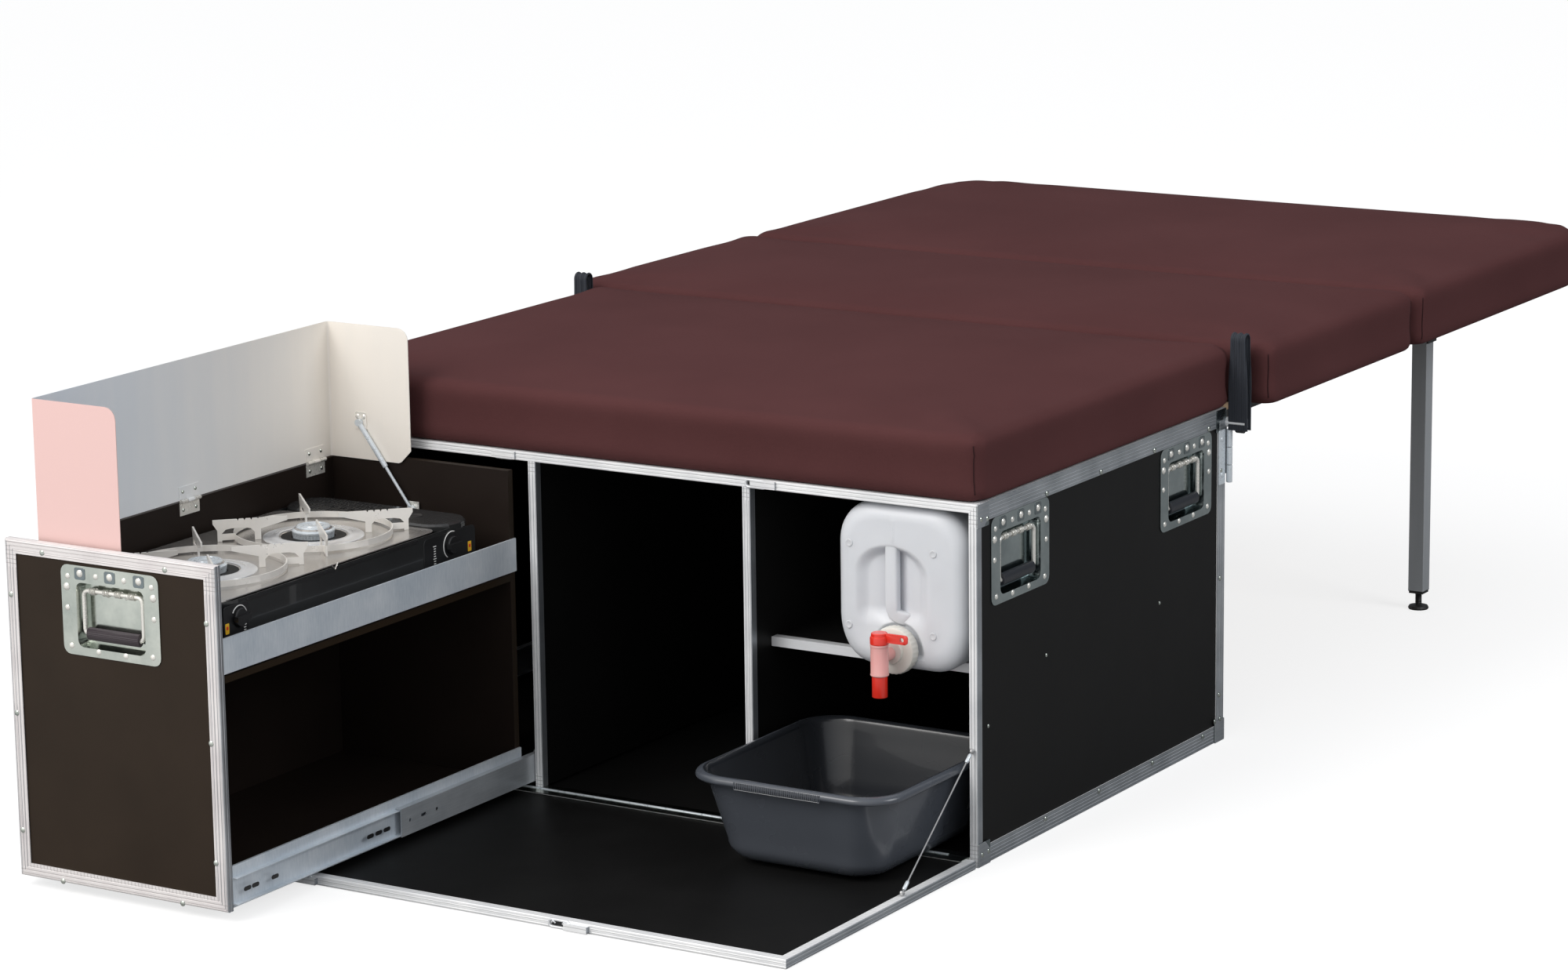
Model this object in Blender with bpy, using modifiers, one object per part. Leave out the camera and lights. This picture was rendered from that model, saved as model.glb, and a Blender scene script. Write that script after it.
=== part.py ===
"""Van camping box: a kitchen and bed box for a van, shown set up for use.

The box stands on the floor with its front to -Y.  The kitchen drawer is pulled
out, the flap lies on the floor, and the bed unfolds to the rear on two legs.
The origin is the middle of the box's underside.  Lengths are in metres.
"""
from math import cos, pi, sin, sqrt, tau

import bmesh
import bpy
from mathutils import Matrix, Vector

# Running clearance and stock
GAP = 0.0003
PANEL = 0.010
SKIN = 0.0015
OVERRUN = 0.005

# Box
BOX_WIDTH = 1.170
BOX_DEPTH = 0.790
BOX_HEIGHT = 0.530
DIVIDER_LEFT_X = -0.171
DIVIDER_RIGHT_X = 0.204

# Aluminium edge profiles
EDGE_LEG = 0.028
EDGE_ROUND = 0.003
GROOVE_DEPTH = 0.0006
GROOVE_WIDTH = 0.0022
GROOVE_PITCH = 0.0052
CHANNEL_DEPTH = 0.014
CHANNEL_CHAMFER = 0.001

# Steel corners and bed hinge plates
PLATE_SIZE = 0.034
PLATE_THICKNESS = 0.0012
PLATE_CUT = 0.014
PLATE_DROP = 0.0006
HINGE_PLATE_WIDTH = 0.024
HINGE_PLATE_HEIGHT = 0.086
HINGE_PLATE_DROP = 0.018
HINGE_PLATE_PAST = 0.0004
HINGE_BARREL_RADIUS = 0.008
HINGE_BARREL_DROP = 0.0235
HINGE_BARREL_LENGTH = 0.034
HINGE_BARREL_SETBACK = 0.0025
KEEPER_WIDTH = 0.042
KEEPER_HEIGHT = 0.0115
KEEPER_THICKNESS = 0.003
KEEPER_DROP = 0.0008
KEEPER_LEFT_X = -0.220
KEEPER_RIGHT_X = 0.234

# Spring handles
DISH_WIDTH = 0.172
DISH_HEIGHT = 0.128
DISH_ROUND = 0.012
DISH_WALL = 0.0012
DISH_TRAY_WIDTH = 0.120
DISH_TRAY_HEIGHT = 0.092
DISH_TRAY_ROUND = 0.010
DISH_TRAY_DROP = 0.006
DISH_TAPER = 0.003
DISH_DEPTH = 0.0165
BAIL_ROD_RADIUS = 0.0032
BAIL_WIDTH = 0.104
BAIL_LENGTH = 0.062
BAIL_CORNER = 0.010
BAIL_AXIS_DEPTH = 0.0072
BAIL_STUB = 0.0055
BAIL_AXIS_DROP = 0.012
GRIP_RADIUS = 0.0068
GRIP_LENGTH = 0.078
SIDE_HANDLE_Z = 0.4375
SIDE_HANDLE_FRONT = 0.129
SIDE_HANDLE_REAR = 0.655

# Canister shelf
SHELF_Z = 0.276
SHELF_SETBACK = 0.056

# Flap
FLAP_LEFT_X = -0.230
FLAP_REACH = 0.5236
FLAP_HINGE_GAP = 0.0066
FLAP_LATCH_WIDTH = 0.038
FLAP_LATCH_DEPTH = 0.007
FLAP_LATCH_HEIGHT = 0.0095
FLAP_LATCH_RIGHT_X = 0.251
PIANO_RADIUS = 0.0028
PIANO_LEAF = 0.020
PIANO_LEAF_THICKNESS = 0.001
PIANO_KNUCKLE = 0.080
PIANO_WAIST_SHARE = 0.8
PIANO_PROUD = 0.0005
CABLE_RADIUS = 0.0013
CABLE_POST_Z = 0.173
CABLE_REACH = 0.204
EYE_RADIUS = 0.0042

# Kitchen drawer
DRAWER_REAR_REACH = 0.018
DRAWER_WIDTH = 0.372
DRAWER_BOTTOM = 0.016
DRAWER_TOP = 0.506
DRAWER_LENGTH = 0.712
DRAWER_FRAME_LEG = 0.020
DRAWER_REAR_PANEL = 0.012
DRAWER_LEFT_SETBACK = 0.034
BAR_THICKNESS = 0.003
SIDE_BAR_Z = 0.352
SIDE_BAR_HEIGHT = 0.050
ANGLE_Z = 0.0205
ANGLE_HEIGHT = 0.0595
ANGLE_LEG = 0.050
ANGLE_SETBACK = 0.001
LEFT_PANEL_TOP = 0.496
STOVE_SHELF_TOP = 0.348
DRAWER_HANDLE_Z = 0.417

# Telescopic slides
SLIDE_LENGTH = 0.700
SLIDE_HEIGHT = 0.045
SLIDE_DEPTH = 0.0127
SLIDE_SKIN = 0.0012
SLIDE_LIP = 0.0024
SLIDE_PLAY = 0.0004
SLIDE_Z = 0.0450
SLIDE_SPACER = 0.0005
SLIDE_SLOT_LENGTH = 0.012
SLIDE_SLOT_WIDTH = 0.005
SLIDE_SLOT_ROUND_SHARE = 0.4
SLIDE_HOLE_PITCH = 0.022
SLIDE_MIDDLE_TRAVEL = 0.354

# Windscreen
SCREEN_WALL = 0.0012
SCREEN_HEIGHT = 0.2065
SCREEN_WING = 0.150
SCREEN_BEND = 0.005
SCREEN_CORNER = 0.018
SCREEN_CHAMFER = 0.020
SCREEN_END_PLAY = 0.0018
SCREEN_DISH_PLAY = 0.0009
SCREEN_SEAM = 0.0013
SCREEN_HINGE_RADIUS = 0.0030
SCREEN_HINGE_WIDTH = 0.045
SCREEN_HINGE_LEAF = 0.018
SCREEN_HINGE_SHEET = 0.001
SCREEN_HINGE_FRONT = 0.377
SCREEN_HINGE_REAR = 0.075

# Windscreen stay
STAY_LOW_X = 0.1475
STAY_LOW_Z = 0.0655
STAY_TOP_X = 0.0545
STAY_TOP_Z = 0.0585
STAY_TUBE_RADIUS = 0.0040
STAY_ROD_RADIUS = 0.0024
STAY_TUBE_LENGTH = 0.074
STAY_OVERLAP = 0.007
STAY_EYE_RADIUS = 0.0055
STAY_EYE_THICKNESS = 0.007
STAY_PIN_RADIUS = 0.0022
STAY_PLATE = 0.022
STAY_PLATE_THICKNESS = 0.0012

# Two-burner stove
STOVE_WIDTH = 0.300
STOVE_FRONT_INSET = 0.0279
STOVE_HEIGHT = 0.090
STOVE_WALL = 0.0015
STOVE_ROUND = 0.036
STOVE_RIGHT_INSET = 0.018
STOVE_REAR_INSET = 0.060
STOVE_FOOT = 0.004
STOVE_FOOT_RADIUS = 0.010
STOVE_TOP_THICKNESS = 0.0012
STOVE_RIM = 0.004
STOVE_TOP_INSET = 0.010
STOVE_COVER_LENGTH = 0.088
STOVE_COVER_RISE = 0.006
STOVE_WELL_RADIUS = 0.050
STOVE_WELL_DEPTH = 0.012
STOVE_WELL_FLOOR_SHARE = 0.62
STOVE_VENTS = 9
STOVE_VENT_PITCH = 0.018
STOVE_VENT_RADIUS = 0.0035
BURNER_SHIFT = 0.008
BURNER_BASE_RADIUS = 0.017
BURNER_HEAD_RADIUS = 0.030
BURNER_CAP_RADIUS = 0.024
BURNER_HEIGHT = 0.028
SUPPORT_APART = 0.045
SUPPORT_RING_INSET = 0.031
SUPPORT_RING_DEPTH = 0.009
SUPPORT_RING_WALL = 0.0016
SUPPORT_RING_RISE = 0.002
SUPPORT_START = 0.0375
SUPPORT_HEIGHT = 0.0322
SUPPORT_NOTCH = 0.003
SUPPORT_THICKNESS = 0.0026
SUPPORT_LEG = 0.013
SUPPORT_INNER_LEG = 0.009
SUPPORT_ARCH_RISE = 0.019
SUPPORT_TIP = 0.006
KNOB_RADIUS = 0.0135
KNOB_DEPTH = 0.006
KNOB_RISE = 0.065
KNOB_FRONT_INSET = 0.036
KNOB_REAR_INSET = 0.063
KNOB_BAR_LENGTH = 0.030
KNOB_BAR_WIDTH = 0.007
KNOB_BAR_DEPTH = 0.005

# Water canister and tap
CAN_WIDTH = 0.214
CAN_HEIGHT = 0.231
CAN_LENGTH = 0.285
CAN_ROUND = 0.034
CAN_RIGHT_GAP = 0.0102
CAN_FRONT_GAP = 0.006
CAN_POCKET_WIDTH = 0.030
CAN_POCKET_HEIGHT = 0.104
CAN_POCKET_DEPTH = 0.036
CAN_HANDLE_WIDTH = 0.020
CAN_HANDLE_DEPTH = 0.016
CAN_HANDLE_SHIFT = -0.015
CAN_HANDLE_RISE = 0.075
CAP_RADIUS = 0.035
CAP_DEPTH = 0.017
CAP_SHIFT = -0.004
CAP_RISE = 0.022
TAP_NECK_RADIUS = 0.010
TAP_FORWARD = 0.034
TAP_RADIUS = 0.0135
TAP_BODY_BELOW = 0.028
TAP_BODY_ABOVE = 0.018
TAP_SPOUT_RADIUS = 0.0112
TAP_SPOUT_LENGTH = 0.034
TAP_SPOUT_WALL = 0.003
TAP_HEAD_HEIGHT = 0.017
TAP_LEVER_LENGTH = 0.046
TAP_LEVER_WIDTH = 0.013
TAP_LEVER_THICKNESS = 0.006

# Washing bowl
BOWL_WIDTH = 0.336
BOWL_LENGTH = 0.385
BOWL_HEIGHT = 0.134
BOWL_ROUND = 0.062
BOWL_TAPER = 0.040
BOWL_WALL = 0.0026
BOWL_RIM = 0.014
BOWL_LIP = 0.008
BOWL_RIGHT_GAP = 0.0094
BOWL_OUTSIDE = 0.225

# Bed
BED_BAR_HEIGHT = 0.012
BED_BAR_WIDTH = 0.020
BED_BAR_X = 0.565
BED_LENGTH = 1.340
BED_SPLIT_Y = 0.970
BED_FIRST_CROSS_Y = 0.424
BED_BOARD = 0.009
BED_CROSS_WIDTH = 0.048
LEG_SIZE = 0.028
LEG_WALL = 0.002
LEG_X = 0.505
LEG_Y = 1.3246
LEG_TOP_Z = 0.497
LEG_AXIS_DROP = 0.014
LEG_BOTTOM_Z = 0.033
LEG_EAR = 0.003
LEG_EAR_DROP = 0.010
LEG_EAR_WIDTH = 0.036
LEG_PIN_RADIUS = 0.004
FOOT_RADIUS = 0.018
FOOT_STEM_RADIUS = 0.005
FOOT_DISC = 0.006
FOOT_CAP = 0.004

# Mattress
MATTRESS_THICKNESS = 0.098
MATTRESS_CROWN = 0.012
MATTRESS_EDGE = 0.016
MATTRESS_DRAW = 0.005
MATTRESS_FRONT_OVERHANG = 0.010
MATTRESS_FRONT_WIDTH = 1.184
MATTRESS_WIDE = 1.300
MATTRESS_SPLIT = 0.0015
MATTRESS_MIDDLE_START = 0.418
MATTRESS_REAR_START = 0.978
MATTRESS_END = 1.765
MATTRESS_SMALL_CORNER = 0.030
MATTRESS_REAR_CORNER = 0.130

# Webbing loops at the bed hinge
STRAP_WIDTH = 0.027
STRAP_THICKNESS = 0.0026
STRAP_TOP = 0.648
STRAP_PLAY = 0.0005
STRAP_OFFSET = 0.0085

# Positions that follow from the sizes above
RIGHT = BOX_WIDTH / 2
LEFT = -RIGHT
REAR = BOX_DEPTH / 2
FRONT = -REAR
TOP = BOX_HEIGHT
INSET = SKIN + GAP
WALL = INSET + PANEL
CHANNEL_WIDTH = WALL + INSET
SEAT = CHANNEL_WIDTH + GAP
DRAWER_X = (LEFT + WALL + DIVIDER_LEFT_X - PANEL / 2) / 2
DRAWER_RIGHT = DRAWER_X + DRAWER_WIDTH / 2
DRAWER_LEFT = DRAWER_X - DRAWER_WIDTH / 2
DRAWER_REAR = FRONT - DRAWER_REAR_REACH
DRAWER_FRONT = DRAWER_REAR - DRAWER_LENGTH
DRAWER_INNER_FRONT = DRAWER_FRONT + WALL + GAP
DRAWER_INNER_REAR = DRAWER_REAR - DRAWER_REAR_PANEL
SLIDE_RIGHT_X = DIVIDER_LEFT_X - PANEL / 2 - GAP - SLIDE_SPACER
SLIDE_LEFT_X = LEFT + WALL + GAP + SLIDE_SPACER
BODY_RIGHT = SLIDE_RIGHT_X - SLIDE_DEPTH - BAR_THICKNESS - GAP
BODY_LEFT = SLIDE_LEFT_X + SLIDE_DEPTH + DRAWER_LEFT_SETBACK
BODY_INNER_LEFT = BODY_LEFT + PANEL
SCREEN_AXIS_X = BODY_INNER_LEFT + SCREEN_HINGE_RADIUS + GAP
SCREEN_AXIS_Z = LEFT_PANEL_TOP + SCREEN_SEAM
SCREEN_REAR_FACE = DRAWER_INNER_REAR - SCREEN_END_PLAY
SCREEN_FRONT_FACE = DRAWER_FRONT + INSET + DISH_DEPTH - GAP + SCREEN_DISH_PLAY
STAY_PLATE_Y = SCREEN_REAR_FACE - SCREEN_WALL - GAP - STAY_PLATE_THICKNESS
STAY_Y = STAY_PLATE_Y - GAP - STAY_TUBE_RADIUS
STOVE_RIGHT = BODY_RIGHT - STOVE_RIGHT_INSET
STOVE_REAR = DRAWER_INNER_REAR - STOVE_REAR_INSET
STOVE_LENGTH = STOVE_REAR - DRAWER_INNER_FRONT - STOVE_FRONT_INSET
STOVE_Z = STOVE_SHELF_TOP + GAP + STOVE_FOOT
STOVE_TOP_Z = STOVE_Z + STOVE_HEIGHT
BURNER_X = STOVE_RIGHT - STOVE_WIDTH / 2
CAN_RIGHT = RIGHT - WALL - CAN_RIGHT_GAP
CAN_FRONT = FRONT + CAN_FRONT_GAP
CAN_Z = SHELF_Z + CHANNEL_WIDTH / 2 + GAP
CAN_X = CAN_RIGHT - CAN_WIDTH / 2
CAP_X = CAN_X + CAP_SHIFT
CAP_Z = CAN_Z + CAP_RISE
TAP_Y = CAN_FRONT - CAP_DEPTH - TAP_FORWARD
POST_BOTTOM = CHANNEL_WIDTH + PIANO_LEAF_THICKNESS + 2 * GAP + PIANO_PROUD
LEG_AXIS_Z = LEG_TOP_Z - LEG_AXIS_DROP
BED_START = REAR + GAP
BED_BAR_TOP = TOP - BED_BOARD - GAP
BED_BAR_Z = BED_BAR_TOP - BED_BAR_HEIGHT
MATTRESS_Z = TOP + GAP
BOWL_Z = CHANNEL_WIDTH + PIANO_LEAF_THICKNESS + 2 * GAP + PIANO_PROUD

# Turned profiles, as shares of a radius and of a height
BURNER_PROFILE_SHARES = ((0.0, 0.45), (0.62, 0.82))
CAP_PROFILE_SHARES = ((0.94, 0.0), (1.0, 0.12), (1.0, 0.85), (0.92, 1.0))
KNOB_PROFILE_SHARES = ((1.0, 0.0), (1.0, 0.7), (0.9, 1.0))
TAP_HEAD_SHARES = ((1.0, 0.0), (1.0, 0.8), (0.85, 1.0))
FOOT_PROFILE_SHARES = ((0.94, 0.0), (1.0, 0.4), (0.9, 1.0))
GROOVE_SHARES = ((-0.5, 0), (-0.25, 1), (0.25, 1), (0.5, 0))
CUSHION_EDGE_SHARE = 0.3
CUSHION_CROWN_SHARES = (0.15, 0.35, 0.6, 0.88)
SLIDE_HOLE_SHARES = (1, 4)
SLIDE_SLOT_SHARE = 2.5
BURNER_PLACE_SHARES = (0.279, 0.770)
SUPPORT_NOTCH_SHARES = (0.34, 0.43, 0.52, 0.61)
SUPPORT_ARCH_SHARE = 0.44
SUPPORT_ARCH_SHARES = ((0.0, 0.62), (0.12, 0.92), (0.30, 1.0), (0.70, 1.0), (0.88, 0.92), (1.0, 0.62))

COLOURS = {
    "film_panel": ((0.018, 0.017, 0.016), 0.45, 0.0),
    "aluminium": ((0.62, 0.64, 0.66), 0.32, 1.0),
    "steel": ((0.66, 0.67, 0.68), 0.24, 1.0),
    "sheet_aluminium": ((0.72, 0.71, 0.69), 0.30, 1.0),
    "black_rubber": ((0.02, 0.02, 0.022), 0.60, 0.0),
    "brown_rubber": ((0.045, 0.020, 0.016), 0.50, 0.0),
    "black_enamel": ((0.015, 0.015, 0.016), 0.25, 0.0),
    "stainless": ((0.72, 0.73, 0.74), 0.14, 1.0),
    "white_poly": ((0.82, 0.82, 0.80), 0.42, 0.0),
    "red_poly": ((0.72, 0.02, 0.015), 0.35, 0.0),
    "pink_poly": ((0.85, 0.42, 0.40), 0.35, 0.0),
    "grey_poly": ((0.055, 0.060, 0.068), 0.40, 0.0),
    "black_poly": ((0.015, 0.015, 0.015), 0.45, 0.0),
    "birch": ((0.60, 0.44, 0.28), 0.60, 0.0),
    "maroon_cloth": ((0.080, 0.030, 0.030), 0.90, 0.0),
    "black_webbing": ((0.018, 0.020, 0.026), 0.75, 0.0),
}


def clear_scene():
    for thing in list(bpy.data.objects):
        bpy.data.objects.remove(thing, do_unlink=True)


def new_collection(name):
    group = bpy.data.collections.new(name)
    bpy.context.scene.collection.children.link(group)
    return group


def make_materials():
    materials = {}
    for name, (colour, roughness, metallic) in COLOURS.items():
        material = bpy.data.materials.new(name)
        material.use_nodes = True
        shader = material.node_tree.nodes["Principled BSDF"]
        shader.inputs["Base Color"].default_value = (*colour, 1.0)
        shader.inputs["Roughness"].default_value = roughness
        shader.inputs["Metallic"].default_value = metallic
        materials[name] = material
    return materials


clear_scene()
PARTS = new_collection("van_camping_box")
CUTTERS = new_collection("cutters")
MATERIALS = make_materials()


# Placing and finishing
def pivot(name, location, parent=None):
    """An empty on a joint's axis, which the moving pieces hang from."""
    empty = bpy.data.objects.new(name, None)
    PARTS.objects.link(empty)
    empty.location = location
    if parent is not None:
        empty.parent = parent
        empty.matrix_parent_inverse = world_of(parent).inverted()
    return empty


def world_of(empty):
    matrix = Matrix.Translation(empty.location)
    if empty.parent is None:
        return matrix
    return world_of(empty.parent) @ empty.matrix_parent_inverse @ matrix


def link_part(name, data, material, carrier=None):
    thing = bpy.data.objects.new(name, data)
    PARTS.objects.link(thing)
    data.materials.append(MATERIALS[material])
    if carrier is not None:
        thing.parent = carrier
        thing.matrix_parent_inverse = world_of(carrier).inverted()
    return thing


def finish(name, bm, material, carrier=None, smooth=None):
    """Turns a bmesh into one named part, with smooth faces where it is round."""
    bmesh.ops.recalc_face_normals(bm, faces=bm.faces)
    mesh = bpy.data.meshes.new(name)
    bm.to_mesh(mesh)
    bm.free()
    if smooth is not None:
        mesh.shade_smooth()
        mesh.set_sharp_from_angle(angle=smooth)
    return link_part(name, mesh, material, carrier)


def cutter(name, bm):
    bmesh.ops.recalc_face_normals(bm, faces=bm.faces)
    mesh = bpy.data.meshes.new(name)
    bm.to_mesh(mesh)
    bm.free()
    thing = bpy.data.objects.new(name, mesh)
    CUTTERS.objects.link(thing)
    thing.hide_render = True
    thing.display_type = "WIRE"
    return thing


def fuse(thing, name, bm):
    """Joins more solid to a part, which must overlap it clearly."""
    boolean(thing, cutter(name, bm), "UNION")


def boolean(thing, tool, operation="DIFFERENCE"):
    step = thing.modifiers.new(tool.name, "BOOLEAN")
    step.operation = operation
    step.solver = "EXACT"
    step.object = tool


# Solids that the parts are built from
def add_box(bm, low, high):
    size = [b - a for a, b in zip(low, high)]
    middle = [(a + b) / 2 for a, b in zip(low, high)]
    stretch = Matrix.Diagonal((*size, 1.0))
    made = bmesh.ops.create_cube(bm, size=1.0, matrix=Matrix.Translation(middle) @ stretch)
    return made["verts"]


def box_part(name, low, high, material, carrier=None):
    bm = bmesh.new()
    add_box(bm, low, high)
    return finish(name, bm, material, carrier)


def turn_to(axis):
    return Vector((0, 0, 1)).rotation_difference(Vector(axis)).to_matrix().to_4x4()


def add_cylinder(bm, start, axis, length, radius, sides=16, radius_end=None):
    """A round bar from start along axis, tapering to radius_end if that is given."""
    middle = Vector(start) + Vector(axis) * (length / 2)
    end = radius if radius_end is None else radius_end
    bmesh.ops.create_cone(
        bm,
        cap_ends=True,
        segments=sides,
        radius1=radius,
        radius2=end,
        depth=length,
        matrix=Matrix.Translation(middle) @ turn_to(axis),
    )


def add_loft(bm, rings, closed=False):
    """Skins a run of equal rings and closes both ends, or joins last to first."""
    loops = [[bm.verts.new(point) for point in ring] for ring in rings]
    count = len(loops[0])
    pairs = list(zip(loops, loops[1:]))
    if closed:
        pairs.append((loops[-1], loops[0]))
    for lower, upper in pairs:
        for i in range(count):
            j = (i + 1) % count
            bm.faces.new((lower[i], lower[j], upper[j], upper[i]))
    if not closed:
        bm.faces.new(list(reversed(loops[0])))
        bm.faces.new(loops[-1])


def add_prism(bm, outline, axis_u, axis_v, origin, depth):
    """A flat outline in the u, v plane, made depth thick along u x v."""
    u = Vector(axis_u)
    v = Vector(axis_v)
    w = u.cross(v)
    base = [Vector(origin) + u * a + v * b for a, b in outline]
    add_loft(bm, [base, [point + w * depth for point in base]])


def round_rect(width, length, radius, steps, centre=(0.0, 0.0)):
    """Points round a rectangle with round corners, anticlockwise from +u, +v."""
    points = []
    for corner, (sign_u, sign_v) in enumerate(((1, 1), (-1, 1), (-1, -1), (1, -1))):
        mid_u = centre[0] + sign_u * (width / 2 - radius)
        mid_v = centre[1] + sign_v * (length / 2 - radius)
        for step in range(steps + 1):
            angle = (corner + step / steps) * pi / 2
            points.append((mid_u + radius * cos(angle), mid_v + radius * sin(angle)))
    return points


def ring_at(outline, z):
    return [Vector((a, b, z)) for a, b in outline]


def add_tube_ring(bm, start, axis, length, outer, inner, sides=12):
    """A sleeve: a tube with a bore right through."""
    turn = turn_to(axis)
    along = Vector(axis) * length
    rings = []
    for radius, shift in ((outer, 0), (outer, 1), (inner, 1), (inner, 0)):
        ring = []
        for i in range(sides):
            angle = tau * i / sides
            spot = turn @ Vector((radius * cos(angle), radius * sin(angle), 0))
            ring.append(Vector(start) + spot + along * shift)
        rings.append(ring)
    add_loft(bm, rings, closed=True)


def add_turned(bm, profile, centre, axis, sides=20):
    """Turns a profile of (radius, height) pairs about an axis through centre."""
    turn = turn_to(axis)
    rings = []
    for radius, height in profile:
        ring = []
        for i in range(sides):
            angle = tau * i / sides
            spot = Vector((radius * cos(angle), radius * sin(angle), height))
            ring.append(Vector(centre) + turn @ spot)
        rings.append(ring)
    add_loft(bm, rings)


def add_ribbon(bm, path, normals, low, high, thickness, closed=False):
    """Bends a strip along a plan path.  low and high give its edges at each point."""
    rings = []
    for (x, y), (nx, ny), z0, z1 in zip(path, normals, low, high):
        back = (x + nx * thickness, y + ny * thickness)
        rings.append(
            [
                Vector((x, y, z0)),
                Vector((x, y, z1)),
                Vector((*back, z1)),
                Vector((*back, z0)),
            ]
        )
    add_loft(bm, rings, closed)


def tube_part(name, points, radius, material, carrier=None, resolution=2):
    """A round rod or wire along points, with closed ends."""
    curve = bpy.data.curves.new(name, "CURVE")
    curve.dimensions = "3D"
    curve.bevel_depth = radius
    curve.bevel_resolution = resolution
    curve.use_fill_caps = True
    spline = curve.splines.new("POLY")
    spline.points.add(len(points) - 1)
    for slot, point in zip(spline.points, points):
        slot.co = (*point, 1.0)
    return link_part(name, curve, material, carrier)


# Aluminium profiles
def groove_points(start, stop, first, count, along_u):
    """Fine grooves on an outer face, from start towards stop."""
    step = 1 if stop > start else -1
    points = []
    for i in range(count):
        middle = start + step * (first + i * GROOVE_PITCH)
        for share, depth in GROOVE_SHARES:
            along = middle + step * share * GROOVE_WIDTH
            across = depth * GROOVE_DEPTH
            points.append((along, across) if along_u else (across, along))
    return points


def angle_outline(leg_u, leg_v, skin, grooves_u=0, grooves_v=0):
    """An angle section with its outer corner at 0, 0 and a leg along u and v."""
    points = [(leg_u, 0.0)]
    points += groove_points(leg_u, 0.0, GROOVE_PITCH, grooves_u, True)
    points.append((EDGE_ROUND, 0.0))
    bend = EDGE_ROUND * (1 - sqrt(0.5))
    points.append((bend, bend))
    points.append((0.0, EDGE_ROUND))
    points += groove_points(0.0, leg_v, leg_v - GROOVE_PITCH * grooves_v, grooves_v, False)
    points += [(0.0, leg_v), (skin, leg_v)]
    points += [(skin, skin), (leg_u, skin)]
    return points


def channel_outline(width, depth, skin, grooves=2):
    """A U section: web at v = 0, legs along +v, width centred on u = 0."""
    half = width / 2
    chamfer = CHANNEL_CHAMFER
    points = [(-half, depth), (-half, chamfer), (-half + chamfer, 0.0)]
    first = half - chamfer - GROOVE_PITCH * (grooves - 1) / 2
    points += groove_points(-half + chamfer, half, first, grooves, True)
    points += [(half - chamfer, 0.0), (half, chamfer), (half, depth)]
    points += [(half - skin, depth), (half - skin, skin), (-half + skin, skin), (-half + skin, depth)]
    return points


def add_bar(bm, outline, origin, axis_u, axis_v, along, length, mitred=(False, False)):
    """Runs a section along an axis.

    A mitred end of an angle is cut back on both legs and left open, for the next
    bar at that corner to be welded to it.
    """
    u = Vector(axis_u)
    v = Vector(axis_v)
    w = Vector(along)
    first = []
    last = []
    for a, b in outline:
        spot = Vector(origin) + u * a + v * b
        cut = max(a, b)
        first.append(bm.verts.new(spot + w * (cut if mitred[0] else 0.0)))
        last.append(bm.verts.new(spot + w * (length - cut if mitred[1] else length)))
    count = len(outline)
    for i in range(count):
        j = (i + 1) % count
        bm.faces.new((first[i], first[j], last[j], last[i]))
    if not mitred[0]:
        bm.faces.new(list(reversed(first)))
    if not mitred[1]:
        bm.faces.new(last)


def add_frame(bm, outline, corners, along_u, along_v):
    """A closed frame: one section at each corner, joined to the next.

    along_u and along_v say how far u and v carry a point, for each corner.
    """
    rings = []
    for corner, u, v in zip(corners, along_u, along_v):
        rings.append([Vector(corner) + Vector(u) * a + Vector(v) * b for a, b in outline])
    add_loft(bm, rings, closed=True)


def add_rails(bm):
    """Grooved angles along the sides and rear, meeting in mitred corners."""
    outline = angle_outline(EDGE_LEG, EDGE_LEG, SKIN, 4, 4)
    both = (True, True)
    start_y = FRONT + CHANNEL_DEPTH + GAP
    for x, inward in ((RIGHT, -1), (LEFT, 1)):
        for z, up in ((0.0, 1), (TOP, -1)):
            origin = (x, start_y, z)
            length = REAR - start_y
            add_bar(bm, outline, origin, (inward, 0, 0), (0, 0, up), (0, 1, 0), length, (False, True))
        add_bar(bm, outline, (x, REAR, 0.0), (inward, 0, 0), (0, -1, 0), (0, 0, 1), BOX_HEIGHT, both)
    for z, up in ((0.0, 1), (TOP, -1)):
        add_bar(bm, outline, (LEFT, REAR, z), (0, -1, 0), (0, 0, up), (1, 0, 0), BOX_WIDTH, both)
    bmesh.ops.remove_doubles(bm, verts=bm.verts, dist=GAP / 10)


def add_front_frame(bm):
    """The channel round the box's front edges, mitred at its corners."""
    outline = channel_outline(CHANNEL_WIDTH, CHANNEL_DEPTH, SKIN)
    half = CHANNEL_WIDTH / 2
    corners = []
    inwards = []
    for way_x, way_z in ((1, 1), (-1, 1), (-1, -1), (1, -1)):
        z = TOP - half if way_z > 0 else half
        corners.append((way_x * (RIGHT - half), FRONT, z))
        inwards.append((-way_x, 0, -way_z))
    add_frame(bm, outline, corners, inwards, [(0, 1, 0)] * 4)


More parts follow.
